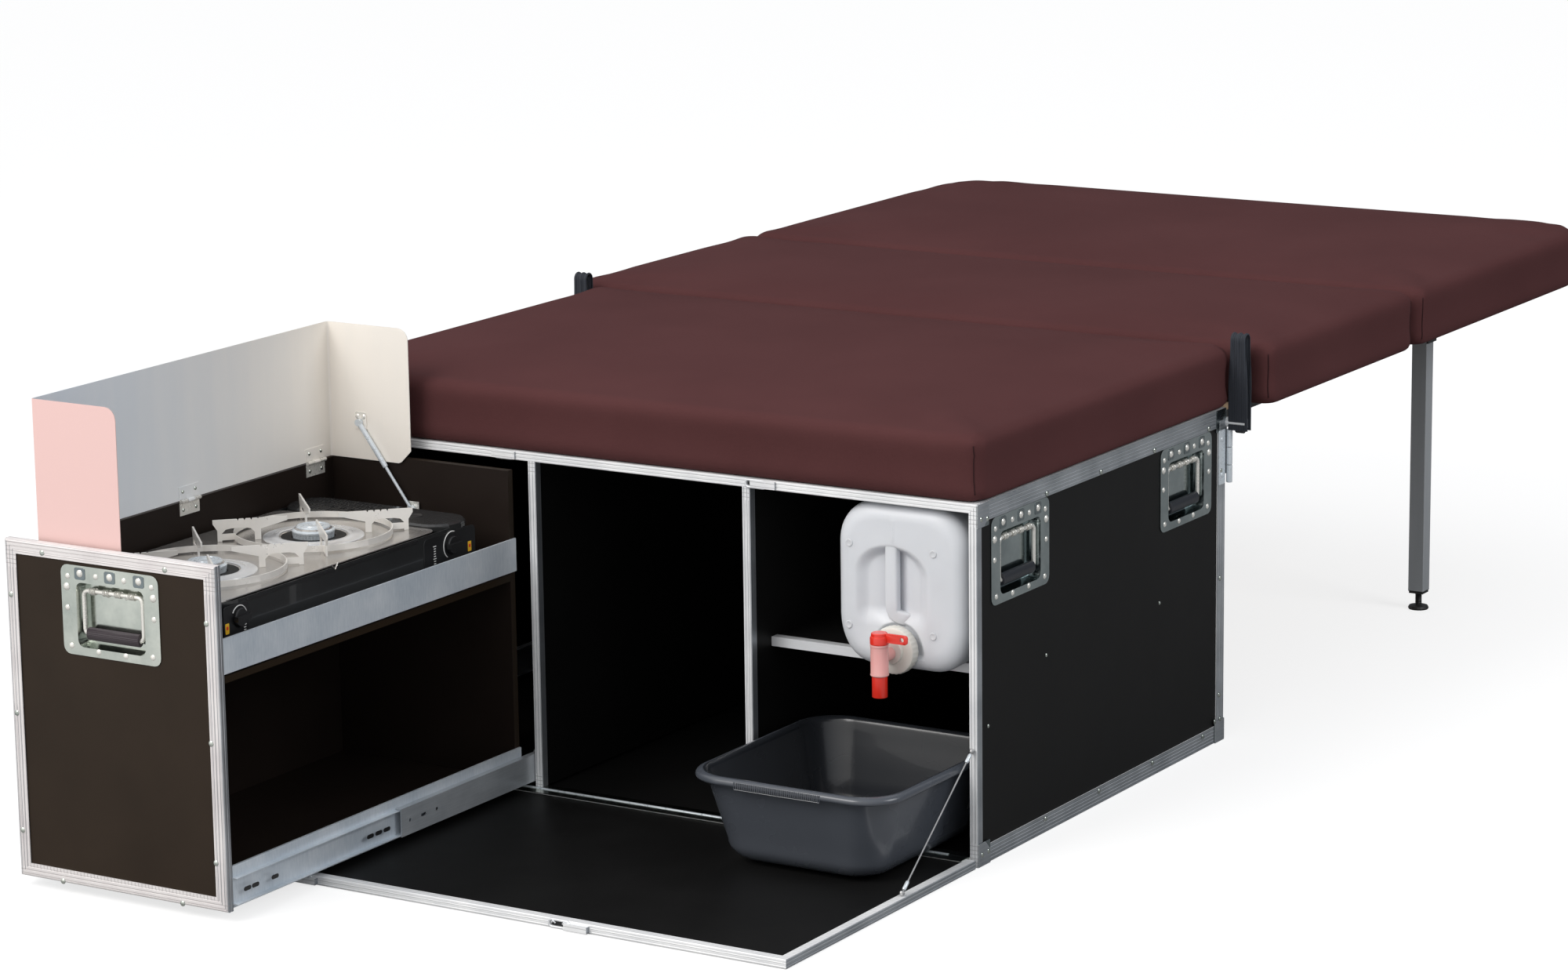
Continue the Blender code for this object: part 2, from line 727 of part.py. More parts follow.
def build_edge_frame():
    """All the box's aluminium edging, with the steel fittings riveted to it."""
    bm = bmesh.new()
    add_rails(bm)
    frame = finish("edge_frame", bm, "aluminium")
    bm = bmesh.new()
    add_front_frame(bm)
    fuse(frame, "front_frame", bm)
    bm = bmesh.new()
    outline = channel_outline(CHANNEL_WIDTH, CHANNEL_DEPTH, SKIN)
    height = TOP - CHANNEL_WIDTH + SKIN / 2 - POST_BOTTOM
    for x in (DIVIDER_LEFT_X, DIVIDER_RIGHT_X):
        add_bar(bm, outline, (x, FRONT, POST_BOTTOM), (1, 0, 0), (0, 1, 0), (0, 0, 1), height)
    fuse(frame, "divider_posts", bm)
    plates = bmesh.new()
    barrels = bmesh.new()
    add_side_fittings(plates, barrels)
    for x in (KEEPER_LEFT_X, KEEPER_RIGHT_X):
        low = (x - KEEPER_WIDTH / 2, FRONT - KEEPER_THICKNESS, TOP - KEEPER_DROP - KEEPER_HEIGHT)
        high = (x + KEEPER_WIDTH / 2, FRONT + SKIN / 2, TOP - KEEPER_DROP)
        add_box(plates, low, high)
    fuse(frame, "steel_plates", plates)
    fuse(frame, "bed_hinge_barrels", barrels)


def add_side_fittings(plates, barrels):
    """Corner plates front and rear, and the bed hinge's plates and barrels."""
    size = PLATE_SIZE
    sunk = PLATE_THICKNESS + SKIN / 2
    outline = [(0, 0), (size, 0), (size, size - PLATE_CUT), (size - PLATE_CUT, size), (0, size)]
    bent = angle_outline(size, size, sunk)
    for x, out in ((RIGHT, 1), (LEFT, -1)):
        inside = x - out * SKIN / 2
        near = min(inside, inside + out * sunk)
        for z, up in ((PLATE_DROP, 1), (TOP - PLATE_DROP, -1)):
            points = [(a + PLATE_DROP, up * b) for a, b in outline]
            add_prism(plates, points, (0, 1, 0), (0, 0, 1), (near, FRONT, z), sunk)
        corner = (x + out * PLATE_THICKNESS, REAR + PLATE_THICKNESS, PLATE_DROP)
        add_bar(plates, bent, corner, (-out, 0, 0), (0, -1, 0), (0, 0, 1), size)
        bottom = TOP - HINGE_PLATE_DROP - HINGE_PLATE_HEIGHT
        rear = REAR + HINGE_PLATE_PAST
        low = (near, rear - HINGE_PLATE_WIDTH, bottom)
        add_box(plates, low, (near + sunk, rear, bottom + HINGE_PLATE_HEIGHT))
        start = (x, REAR + HINGE_BARREL_SETBACK, TOP - HINGE_BARREL_DROP)
        add_cylinder(barrels, start, (out, 0, 0), HINGE_BARREL_LENGTH, HINGE_BARREL_RADIUS)


# Box panels
def handle_window(name, place):
    """Cuts the opening that a handle's tray drops through."""
    bm = bmesh.new()
    margin = DISH_WALL + GAP
    half_u = DISH_TRAY_WIDTH / 2 + margin
    half_v = DISH_TRAY_HEIGHT / 2 + margin
    low = (-half_u, -half_v - DISH_TRAY_DROP, -PANEL - OVERRUN)
    high = (half_u, half_v - DISH_TRAY_DROP, OVERRUN)
    add_box(bm, low, high)
    bmesh.ops.transform(bm, matrix=place, verts=bm.verts)
    return cutter(name, bm)


def face_frame(origin, across, up, out):
    """A frame on a panel's outer face: u across, v up, w out of the panel."""
    matrix = Matrix.Identity(4)
    for column, axis in enumerate((across, up, out)):
        for row in range(3):
            matrix[row][column] = axis[row]
    for row in range(3):
        matrix[row][3] = origin[row]
    return matrix


def side_handle_frames():
    """Where the four side handles sit, right side first, front before rear."""
    frames = {}
    for side, x, out, across in (("right", RIGHT - INSET, 1, 1), ("left", LEFT + INSET, -1, -1)):
        for end, y in (("front", SIDE_HANDLE_FRONT), ("rear", SIDE_HANDLE_REAR)):
            origin = (x, FRONT + y, SIDE_HANDLE_Z)
            frames[side + "_" + end] = face_frame(origin, (0, across, 0), (0, 0, 1), (out, 0, 0))
    return frames


def drawer_handle_frame():
    origin = (DRAWER_X, DRAWER_FRONT + INSET, DRAWER_HANDLE_Z)
    return face_frame(origin, (1, 0, 0), (0, 0, 1), (0, -1, 0))


def build_box_panels():
    frames = side_handle_frames()
    for side, low_x, high_x in (("left", LEFT + INSET, LEFT + WALL), ("right", RIGHT - WALL, RIGHT - INSET)):
        low = (low_x, FRONT + INSET, INSET)
        high = (high_x, REAR - INSET, TOP - INSET)
        panel = box_part("box_" + side, low, high, "film_panel")
        for end in ("front", "rear"):
            name = side + "_" + end
            boolean(panel, handle_window("window_" + name, frames[name]))
    inner = RIGHT - WALL - GAP
    rear_low = (-inner, REAR - WALL, INSET)
    rear_high = (inner, REAR - INSET, TOP - INSET)
    box_part("box_rear", rear_low, rear_high, "film_panel")
    back = REAR - WALL - GAP
    box_part("box_floor", (-inner, FRONT + INSET, INSET), (inner, back, WALL), "film_panel")
    box_part("box_top", (-inner, FRONT + INSET, TOP - WALL), (inner, back, TOP - INSET), "film_panel")


def build_dividers():
    back = REAR - WALL - GAP
    for side, x in (("left", DIVIDER_LEFT_X), ("right", DIVIDER_RIGHT_X)):
        low = (x - PANEL / 2, FRONT + INSET, POST_BOTTOM)
        high = (x + PANEL / 2, back, TOP - SEAT)
        box_part("divider_" + side, low, high, "film_panel")


def build_canister_shelf():
    """The shelf board, with the channel pressed on its front edge."""
    left = DIVIDER_RIGHT_X + PANEL / 2 + GAP
    right = RIGHT - WALL - GAP
    front = FRONT + SHELF_SETBACK
    low = (left, front + SKIN / 2, SHELF_Z - PANEL / 2)
    high = (right, REAR - WALL - GAP, SHELF_Z + PANEL / 2)
    shelf = box_part("canister_shelf", low, high, "film_panel")
    bm = bmesh.new()
    outline = channel_outline(CHANNEL_WIDTH, CHANNEL_DEPTH, SKIN + 2 * GAP)
    start = left + GAP
    add_bar(bm, outline, (start, front, SHELF_Z), (0, 0, 1), (0, 1, 0), (1, 0, 0), right - start - GAP)
    fuse(shelf, "shelf_edge", bm)


# Recessed spring handles
def add_dish(bm, place):
    """A flanged tray for a spring handle, as an open surface."""
    level = GAP + DISH_WALL
    tray = (0.0, -DISH_TRAY_DROP)
    taper = 2 * DISH_TAPER
    loops = (
        (round_rect(DISH_WIDTH, DISH_HEIGHT, DISH_ROUND, 4), level),
        (round_rect(DISH_TRAY_WIDTH, DISH_TRAY_HEIGHT, DISH_TRAY_ROUND, 4, tray), level),
        (round_rect(DISH_TRAY_WIDTH - taper, DISH_TRAY_HEIGHT - taper, DISH_TRAY_ROUND - DISH_TAPER, 4, tray),
         level - DISH_DEPTH),
    )
    rings = []
    for outline, depth in loops:
        rings.append([bm.verts.new(place @ Vector((a, b, depth))) for a, b in outline])
    count = len(rings[0])
    for outer, inner in zip(rings, rings[1:]):
        for i in range(count):
            j = (i + 1) % count
            bm.faces.new((outer[i], outer[j], inner[j], inner[i]))
    bm.faces.new(rings[-1])


def dish_part(name, place, carrier=None):
    bm = bmesh.new()
    add_dish(bm, place)
    mesh = bpy.data.meshes.new(name)
    bm.to_mesh(mesh)
    bm.free()
    thing = link_part(name, mesh, "steel", carrier)
    wall = thing.modifiers.new("wall", "SOLIDIFY")
    wall.thickness = DISH_WALL
    wall.offset = -1.0


def bail_axis_point():
    """The middle of a bail's axis in its handle's own frame."""
    up = DISH_TRAY_HEIGHT / 2 - DISH_TRAY_DROP - BAIL_AXIS_DROP
    return Vector((0.0, up, GAP + DISH_WALL - BAIL_AXIS_DEPTH))


def bail_path():
    """The bail's centre line in its handle's frame, from stub to stub."""
    top = bail_axis_point()
    half = BAIL_WIDTH / 2
    bottom = top.y - BAIL_LENGTH
    right_side = [(half + BAIL_STUB, top.y), (half, top.y)]
    for step in range(1, 4):
        angle = step / 4 * pi / 2
        u = half - BAIL_CORNER * (1 - cos(angle))
        v = bottom + BAIL_CORNER * (1 - sin(angle))
        right_side.append((u, v))
    right_side.insert(2, (half, bottom + BAIL_CORNER))
    right_side.append((half - BAIL_CORNER, bottom))
    left_side = [(-u, v) for u, v in reversed(right_side)]
    return [Vector((u, v, top.z)) for u, v in right_side + left_side]


def build_handle(prefix, place, grip_colour, root=None):
    """A steel bail on its axis, with the rubber grip moulded round its lower run."""
    centre = place @ bail_axis_point()
    hinge = pivot(prefix + "_handle_pivot", centre, root)
    points = [place @ point for point in bail_path()]
    bail = tube_part(prefix + "_bail", points, BAIL_ROD_RADIUS, "steel")
    handle = finish(prefix + "_handle", bmesh_of(bail), "steel", hinge, smooth=pi / 5)
    handle.data.materials.append(MATERIALS[grip_colour])
    bm = bmesh.new()
    top = bail_axis_point()
    start = place @ Vector((-GRIP_LENGTH / 2, top.y - BAIL_LENGTH, top.z))
    axis = place.to_3x3() @ Vector((1, 0, 0))
    add_cylinder(bm, start, axis, GRIP_LENGTH, GRIP_RADIUS)
    fuse(handle, prefix + "_grip", bm)


def build_side_handles():
    for name, place in side_handle_frames().items():
        dish_part(name + "_dish", place)
        build_handle(name, place, "black_rubber")


# Front flap
def build_flap():
    panel_low = (FLAP_LEFT_X + INSET, FRONT - FLAP_REACH + INSET, INSET)
    panel_high = (RIGHT - INSET, FRONT - FLAP_HINGE_GAP - INSET, WALL)
    box_part("flap_panel", panel_low, panel_high, "film_panel")
    bm = bmesh.new()
    outline = channel_outline(CHANNEL_WIDTH, CHANNEL_DEPTH, SKIN)
    middle = CHANNEL_WIDTH / 2
    front = FRONT - FLAP_REACH
    back = FRONT - FLAP_HINGE_GAP
    corners = []
    inwards = []
    for x, way_x, y, way_y in (
        (RIGHT, -1, back, -1),
        (FLAP_LEFT_X, 1, back, -1),
        (FLAP_LEFT_X, 1, front, 1),
        (RIGHT, -1, front, 1),
    ):
        corners.append((x, y, middle))
        inwards.append((way_x, way_y, 0))
    add_frame(bm, outline, corners, [(0, 0, 1)] * 4, inwards)
    frame = finish("flap_frame", bm, "aluminium")
    latches = bmesh.new()
    for x in (FLAP_LEFT_X + FLAP_LATCH_WIDTH / 2, FLAP_LATCH_RIGHT_X):
        low = (x - FLAP_LATCH_WIDTH / 2, front - FLAP_LATCH_DEPTH, SKIN)
        high = (x + FLAP_LATCH_WIDTH / 2, front + SKIN / 2, SKIN + FLAP_LATCH_HEIGHT)
        add_box(latches, low, high)
    fuse(frame, "flap_latches", latches)


def build_piano_hinge():
    """A long barrel of knuckles with a leaf each side, over the floor's edge."""
    y = FRONT - FLAP_HINGE_GAP / 2
    low_z = CHANNEL_WIDTH + GAP
    left = FLAP_LEFT_X
    right = RIGHT - SEAT
    count = int((right - left) / PIANO_KNUCKLE)
    pitch = (right - left) / count
    profile = []
    for i in range(count):
        profile.append((PIANO_RADIUS, i * pitch + 2 * GAP))
        profile.append((PIANO_RADIUS, (i + 1) * pitch - 2 * GAP))
        profile.append((PIANO_RADIUS * PIANO_WAIST_SHARE, (i + 1) * pitch - GAP))
        profile.append((PIANO_RADIUS * PIANO_WAIST_SHARE, (i + 1) * pitch + GAP))
    bm = bmesh.new()
    centre = (left, y, low_z + PIANO_LEAF_THICKNESS + PIANO_PROUD - PIANO_RADIUS)
    add_turned(bm, profile[:-2], centre, (1, 0, 0), 8)
    hinge = finish("piano_hinge", bm, "steel", smooth=pi / 5)
    leaves = bmesh.new()
    start = left + 2 * GAP
    high_z = low_z + PIANO_LEAF_THICKNESS
    add_box(leaves, (start, y - PIANO_LEAF, low_z), (right - 2 * GAP, y + PIANO_LEAF, high_z))
    fuse(hinge, "piano_leaves", leaves)


def build_flap_cable():
    """The steel stay cable, with an eye on the post and an eye on the flap."""
    x = RIGHT - CHANNEL_WIDTH / 2
    high = Vector((x, FRONT - EYE_RADIUS - GAP, CABLE_POST_Z))
    low = Vector((x, FRONT - CABLE_REACH, CHANNEL_WIDTH + EYE_RADIUS + GAP))
    line = tube_part("flap_cable_line", [high, (high + low) / 2, low], CABLE_RADIUS, "steel")
    cable = finish("flap_cable", bmesh_of(line), "steel", smooth=pi / 4)
    eyes = bmesh.new()
    for end in (high, low):
        bmesh.ops.create_icosphere(eyes, subdivisions=2, radius=EYE_RADIUS, matrix=Matrix.Translation(end))
    fuse(cable, "flap_cable_eyes", eyes)


def bmesh_of(thing):
    """Takes a curve's solid as a closed bmesh and removes the curve."""
    bpy.context.view_layer.update()
    source = thing.evaluated_get(bpy.context.evaluated_depsgraph_get())
    mesh = bpy.data.meshes.new_from_object(source)
    bm = bmesh.new()
    bm.from_mesh(mesh)
    bmesh.ops.transform(bm, matrix=thing.matrix_world, verts=bm.verts)
    bmesh.ops.remove_doubles(bm, verts=bm.verts, dist=GAP / 10)
    bpy.data.objects.remove(thing, do_unlink=True)
    bpy.data.meshes.remove(mesh)
    return bm


# Kitchen drawer
def build_drawer_front(slider):
    low = (DRAWER_LEFT + INSET, DRAWER_FRONT + INSET, DRAWER_BOTTOM + INSET)
    high = (DRAWER_RIGHT - INSET, DRAWER_FRONT + WALL, DRAWER_TOP - INSET)
    panel = box_part("drawer_front", low, high, "film_panel", slider)
    place = drawer_handle_frame()
    boolean(panel, handle_window("window_drawer", place))
    bm = bmesh.new()
    outline = angle_outline(DRAWER_FRAME_LEG, WALL, SKIN, 3, 1)
    corners = []
    inwards = []
    for x, way_x, z, way_z in (
        (DRAWER_RIGHT, -1, DRAWER_TOP, -1),
        (DRAWER_LEFT, 1, DRAWER_TOP, -1),
        (DRAWER_LEFT, 1, DRAWER_BOTTOM, 1),
        (DRAWER_RIGHT, -1, DRAWER_BOTTOM, 1),
    ):
        corners.append((x, DRAWER_FRONT, z))
        inwards.append((way_x, 0, way_z))
    add_frame(bm, outline, corners, inwards, [(0, 1, 0)] * 4)
    finish("drawer_front_frame", bm, "aluminium", slider)
    dish_part("drawer_handle_dish", place, slider)
    build_handle("drawer", place, "brown_rubber", slider)


def build_drawer_body(slider):
    """Left wall, rear wall, floor, stove shelf and the upper side bar."""
    floor_z = ANGLE_Z + BAR_THICKNESS + GAP
    back = DRAWER_INNER_REAR - GAP
    front = DRAWER_INNER_FRONT
    box_part("drawer_left", (BODY_LEFT, front, floor_z), (BODY_INNER_LEFT, back, LEFT_PANEL_TOP), "film_panel", slider)
    rear_low = (BODY_LEFT, DRAWER_INNER_REAR, floor_z)
    box_part("drawer_rear", rear_low, (BODY_RIGHT, DRAWER_REAR, DRAWER_TOP), "film_panel", slider)
    left = BODY_INNER_LEFT + GAP
    for name, top in (("drawer_floor", floor_z + PANEL), ("stove_shelf", STOVE_SHELF_TOP)):
        box_part(name, (left, front, top - PANEL), (BODY_RIGHT, back, top), "film_panel", slider)
    bar_left = BODY_RIGHT + GAP
    bar_low = (bar_left, front, SIDE_BAR_Z)
    bar_high = (bar_left + BAR_THICKNESS, DRAWER_REAR, SIDE_BAR_Z + SIDE_BAR_HEIGHT)
    box_part("side_bar", bar_low, bar_high, "aluminium", slider)


# Telescopic slides
def slide_outlines():
    """Sections of the three members: depth from the wall, height from the middle."""
    skin = SLIDE_SKIN
    depth = SLIDE_DEPTH
    tall = SLIDE_HEIGHT / 2
    lip = tall - SLIDE_LIP
    outer = [
        (0, -tall), (depth, -tall), (depth, -lip), (depth - skin, -lip), (depth - skin, skin - tall),
        (skin, skin - tall), (skin, tall - skin), (depth - skin, tall - skin), (depth - skin, lip),
        (depth, lip), (depth, tall), (0, tall),
    ]
    mid = tall - skin - SLIDE_PLAY
    near = skin + SLIDE_PLAY
    far = depth - skin - SLIDE_PLAY
    middle = [
        (near, -mid), (far, -mid), (far, skin - mid), (near + skin, skin - mid),
        (near + skin, mid - skin), (far, mid - skin), (far, mid), (near, mid),
    ]
    low = mid - skin - SLIDE_PLAY
    back = near + skin + SLIDE_PLAY
    inner = [
        (back, -low), (depth, -low), (depth, low), (back, low), (back, low - skin),
        (depth - skin, low - skin), (depth - skin, skin - low), (back, skin - low),
    ]
    return outer, middle, inner


def slide_holes(name, start, wall_x, out):
    """Round holes and slots near both ends of one member, through its web."""
    bm = bmesh.new()
    near = wall_x - out * OVERRUN
    reach = SLIDE_DEPTH + 2 * OVERRUN
    low_x = min(near, near + out * reach)
    round_hole = round_rect(SLIDE_SLOT_WIDTH, SLIDE_SLOT_WIDTH, SLIDE_SLOT_WIDTH * SLIDE_SLOT_ROUND_SHARE, 2)
    slot = round_rect(SLIDE_SLOT_LENGTH, SLIDE_SLOT_WIDTH, SLIDE_SLOT_WIDTH * SLIDE_SLOT_ROUND_SHARE, 3)
    for end, way in ((start, 1), (start + SLIDE_LENGTH, -1)):
        for share in SLIDE_HOLE_SHARES:
            y = end + way * share * SLIDE_HOLE_PITCH
            add_prism(bm, round_hole, (0, 1, 0), (0, 0, 1), (low_x, y, SLIDE_Z), reach)
        y = end + way * SLIDE_HOLE_PITCH * SLIDE_SLOT_SHARE
        add_prism(bm, slot, (0, 1, 0), (0, 0, 1), (low_x, y, SLIDE_Z), reach)
    return cutter(name, bm)


def add_section(bm, outline, wall_x, out, start, z, length):
    """Runs a section along Y: u points away from the wall, v up."""
    begin = start if out < 0 else start + length
    add_prism(bm, outline, (out, 0, 0), (0, 0, 1), (wall_x, begin, z), length)


def build_slides(slider):
    """Three-part slides: one member on the wall, one floating, one on the drawer."""
    outer, middle, inner = slide_outlines()
    outer_start = FRONT + CHANNEL_DEPTH + GAP
    mover = pivot("slide_middle_mover", (0, FRONT, SLIDE_Z))
    for side, wall_x, out in (("right", SLIDE_RIGHT_X, -1), ("left", SLIDE_LEFT_X, 1)):
        for name, outline, start, carrier in (
            ("slide_outer_" + side, outer, outer_start, None),
            ("slide_middle_" + side, middle, outer_start - SLIDE_MIDDLE_TRAVEL, mover),
            (side + "_runner", inner, DRAWER_INNER_FRONT, slider),
        ):
            bm = bmesh.new()
            add_section(bm, outline, wall_x, out, start, SLIDE_Z, SLIDE_LENGTH)
            member = finish(name, bm, "steel", carrier)
            boolean(member, slide_holes(name + "_holes", start, wall_x, out))
        add_runner_angle(member, side, wall_x + out * (SLIDE_DEPTH - SLIDE_SKIN / 2), out)


def add_runner_angle(member, side, wall_x, out):
    """The angle that carries the drawer floor, riveted to the inner member."""
    thick = BAR_THICKNESS + SLIDE_SKIN / 2
    outline = [
        (0, 0),
        (ANGLE_LEG, 0),
        (ANGLE_LEG, BAR_THICKNESS),
        (thick, BAR_THICKNESS),
        (thick, ANGLE_HEIGHT),
        (0, ANGLE_HEIGHT),
    ]
    bm = bmesh.new()
    start = DRAWER_INNER_FRONT + ANGLE_SETBACK
    add_section(bm, outline, wall_x, out, start, ANGLE_Z, SLIDE_LENGTH - 2 * ANGLE_SETBACK)
    fuse(member, side + "_runner_angle", bm)


# Windscreen
def wing_stations(chamfer):
    """Distances from a wing's tip, with the bottom and top edges there."""
    stations = []
    bottom = LEFT_PANEL_TOP + 2 * SCREEN_SEAM
    top = bottom + SCREEN_HEIGHT
    for step in range(5):
        angle = step / 4 * pi / 2
        reach = SCREEN_CORNER * (1 - cos(angle))
        low = bottom + max(chamfer - reach, 0)
        stations.append((reach, low, top - SCREEN_CORNER * (1 - sin(angle))))
    stations.append((SCREEN_CORNER + SCREEN_CHAMFER / 4, bottom, top))
    return stations


def build_windscreen(folder):
    """One bent sheet: two wings and the long wall, standing on its hinges."""
    left = BODY_INNER_LEFT - SCREEN_WALL
    bottom = LEFT_PANEL_TOP + 2 * SCREEN_SEAM
    top = bottom + SCREEN_HEIGHT
    bend = SCREEN_BEND
    tip = left + SCREEN_WING
    halves = []
    for face, way, chamfer in ((SCREEN_FRONT_FACE, 1, 0.0), (SCREEN_REAR_FACE, -1, SCREEN_CHAMFER)):
        half = [((tip - reach, face), (0, way), low, high) for reach, low, high in wing_stations(chamfer)]
        for step in range(4):
            angle = step / 3 * pi / 2
            out = (-sin(angle), -way * cos(angle))
            spot = (left + bend + bend * out[0], face + way * bend + bend * out[1])
            half.append((spot, (-out[0], -out[1]), bottom, top))
        halves.append(half)
    stations = halves[0] + list(reversed(halves[1]))
    path, normals, low, high = zip(*stations)
    bm = bmesh.new()
    add_ribbon(bm, path, normals, low, high, SCREEN_WALL)
    screen = finish("windscreen", bm, "sheet_aluminium", folder)
    add_hinges_to_screen(screen)


def add_hinges_to_screen(screen):
    """The moving leaves and their middle knuckles, and the stay's upper plate."""
    sunk = BODY_INNER_LEFT - SCREEN_WALL / 2
    sheet = BODY_INNER_LEFT + SCREEN_HINGE_SHEET
    upper = SCREEN_AXIS_Z + SCREEN_HINGE_RADIUS + GAP
    third = SCREEN_HINGE_WIDTH / 3
    leaves = bmesh.new()
    tongues = bmesh.new()
    knuckles = bmesh.new()
    for setback in (SCREEN_HINGE_FRONT, SCREEN_HINGE_REAR):
        start = FRONT - setback - SCREEN_HINGE_WIDTH / 2
        end = start + SCREEN_HINGE_WIDTH
        add_box(leaves, (sunk, start, upper), (sheet, end, upper + SCREEN_HINGE_LEAF))
        near = start + third + GAP
        far = end - third - GAP
        low = (BODY_INNER_LEFT + GAP, near, SCREEN_AXIS_Z)
        add_box(tongues, low, (sheet + GAP, far, upper + SCREEN_HINGE_LEAF / 4))
        spot = (SCREEN_AXIS_X, near + GAP / 4, SCREEN_AXIS_Z)
        add_cylinder(knuckles, spot, (0, 1, 0), far - near - GAP / 2, SCREEN_HINGE_RADIUS, 12)
    top_x, top_z = stay_points()[2:]
    half = STAY_PLATE / 2
    back = SCREEN_REAR_FACE - SCREEN_WALL / 2
    add_box(leaves, (top_x - half, STAY_PLATE_Y, top_z - half), (top_x + half, back, top_z + half))
    fuse(screen, "screen_leaves", leaves)
    fuse(screen, "screen_tongues", tongues)
    fuse(screen, "screen_knuckles", knuckles)


def build_panel_hinges(slider):
    """The two fixed leaves on the drawer's left wall."""
    face = BODY_INNER_LEFT + GAP
    sheet = face + SCREEN_HINGE_SHEET
    lower = SCREEN_AXIS_Z - SCREEN_HINGE_RADIUS - GAP
    third = SCREEN_HINGE_WIDTH / 3
    for name, setback in (("front_screen_hinge", SCREEN_HINGE_FRONT), ("rear_screen_hinge", SCREEN_HINGE_REAR)):
        start = FRONT - setback - SCREEN_HINGE_WIDTH / 2
        end = start + SCREEN_HINGE_WIDTH
        leaf = box_part(name, (face, start, lower - SCREEN_HINGE_LEAF), (sheet, end, lower), "steel", slider)
        tongues = bmesh.new()
        knuckles = bmesh.new()
        for near in (start + GAP, end - third + GAP):
            far = near + third - 2 * GAP
            low = (face + GAP / 2, near, lower - SCREEN_HINGE_LEAF / 4)
            add_box(tongues, low, (sheet + GAP, far, SCREEN_AXIS_Z))
            spot = (SCREEN_AXIS_X, near + GAP / 4, SCREEN_AXIS_Z)
            add_cylinder(knuckles, spot, (0, 1, 0), third - 2.5 * GAP, SCREEN_HINGE_RADIUS, 12)
        fuse(leaf, name + "_tongues", tongues)
        fuse(leaf, name + "_knuckles", knuckles)


def stay_points():
    low_x = SCREEN_AXIS_X + STAY_LOW_X
    low_z = SCREEN_AXIS_Z - STAY_LOW_Z
    return low_x, low_z, SCREEN_AXIS_X + STAY_TOP_X, SCREEN_AXIS_Z + STAY_TOP_Z


def build_stay(slider):
    """A rod that turns on the lower bracket's pin, and the tube that slides on it."""
    low_x, low_z, top_x, top_z = stay_points()
    half = STAY_PLATE / 2
    back = STAY_PLATE_Y + STAY_PLATE_THICKNESS
    foot = STOVE_SHELF_TOP + GAP
    bracket_low = (low_x - half, STAY_PLATE_Y, foot)
    bracket = box_part("stay_bracket", bracket_low, (low_x + half, back, low_z + half), "steel", slider)
    pin = bmesh.new()
    pin_start = (low_x, back - GAP, low_z)
    pin_length = back - STAY_Y + STAY_TUBE_RADIUS
    add_cylinder(pin, pin_start, (0, -1, 0), pin_length, STAY_PIN_RADIUS, 12)
    fuse(bracket, "stay_pin", pin)
    low = Vector((low_x, STAY_Y, low_z))
    top = Vector((top_x, STAY_Y, top_z))
    run = (top - low).normalized()
    swivel = pivot("stay_swivel", low, slider)
    runner = pivot("stay_runner", top, swivel)
    boss = STAY_EYE_THICKNESS
    lift = Vector((0, boss / 2, 0))
    end = STAY_EYE_RADIUS + GAP
    tube_start = top - run * (end + STAY_TUBE_LENGTH)
    bore = (STAY_PIN_RADIUS + GAP) / cos(pi / 12)
    root = (bore + STAY_EYE_RADIUS) / 2
    bm = bmesh.new()
    add_tube_ring(bm, low + lift, (0, -1, 0), boss, STAY_EYE_RADIUS, bore)
    rod = finish("stay_rod", bm, "steel", swivel, smooth=pi / 5)
    bm = bmesh.new()
    rod_length = (tube_start - low).length - root + STAY_OVERLAP
    add_cylinder(bm, low + run * root, run, rod_length, STAY_ROD_RADIUS, 12)
    fuse(rod, "stay_rod_bar", bm)
    bm = bmesh.new()
    bore = (STAY_ROD_RADIUS + GAP) / cos(pi / 12)
    add_tube_ring(bm, tube_start, run, STAY_TUBE_LENGTH + STAY_EYE_RADIUS / 2, STAY_TUBE_RADIUS, bore)
    tube = finish("stay_tube", bm, "steel", runner, smooth=pi / 5)
    bm = bmesh.new()
    add_cylinder(bm, top + lift, (0, -1, 0), boss, STAY_EYE_RADIUS, 12)
    fuse(tube, "stay_tube_eye", bm)


# Two-burner stove
def burner_places():
    plate = STOVE_LENGTH - STOVE_COVER_LENGTH
    front = STOVE_REAR - STOVE_LENGTH
    return [(BURNER_X + BURNER_SHIFT, front + plate * share) for share in BURNER_PLACE_SHARES]


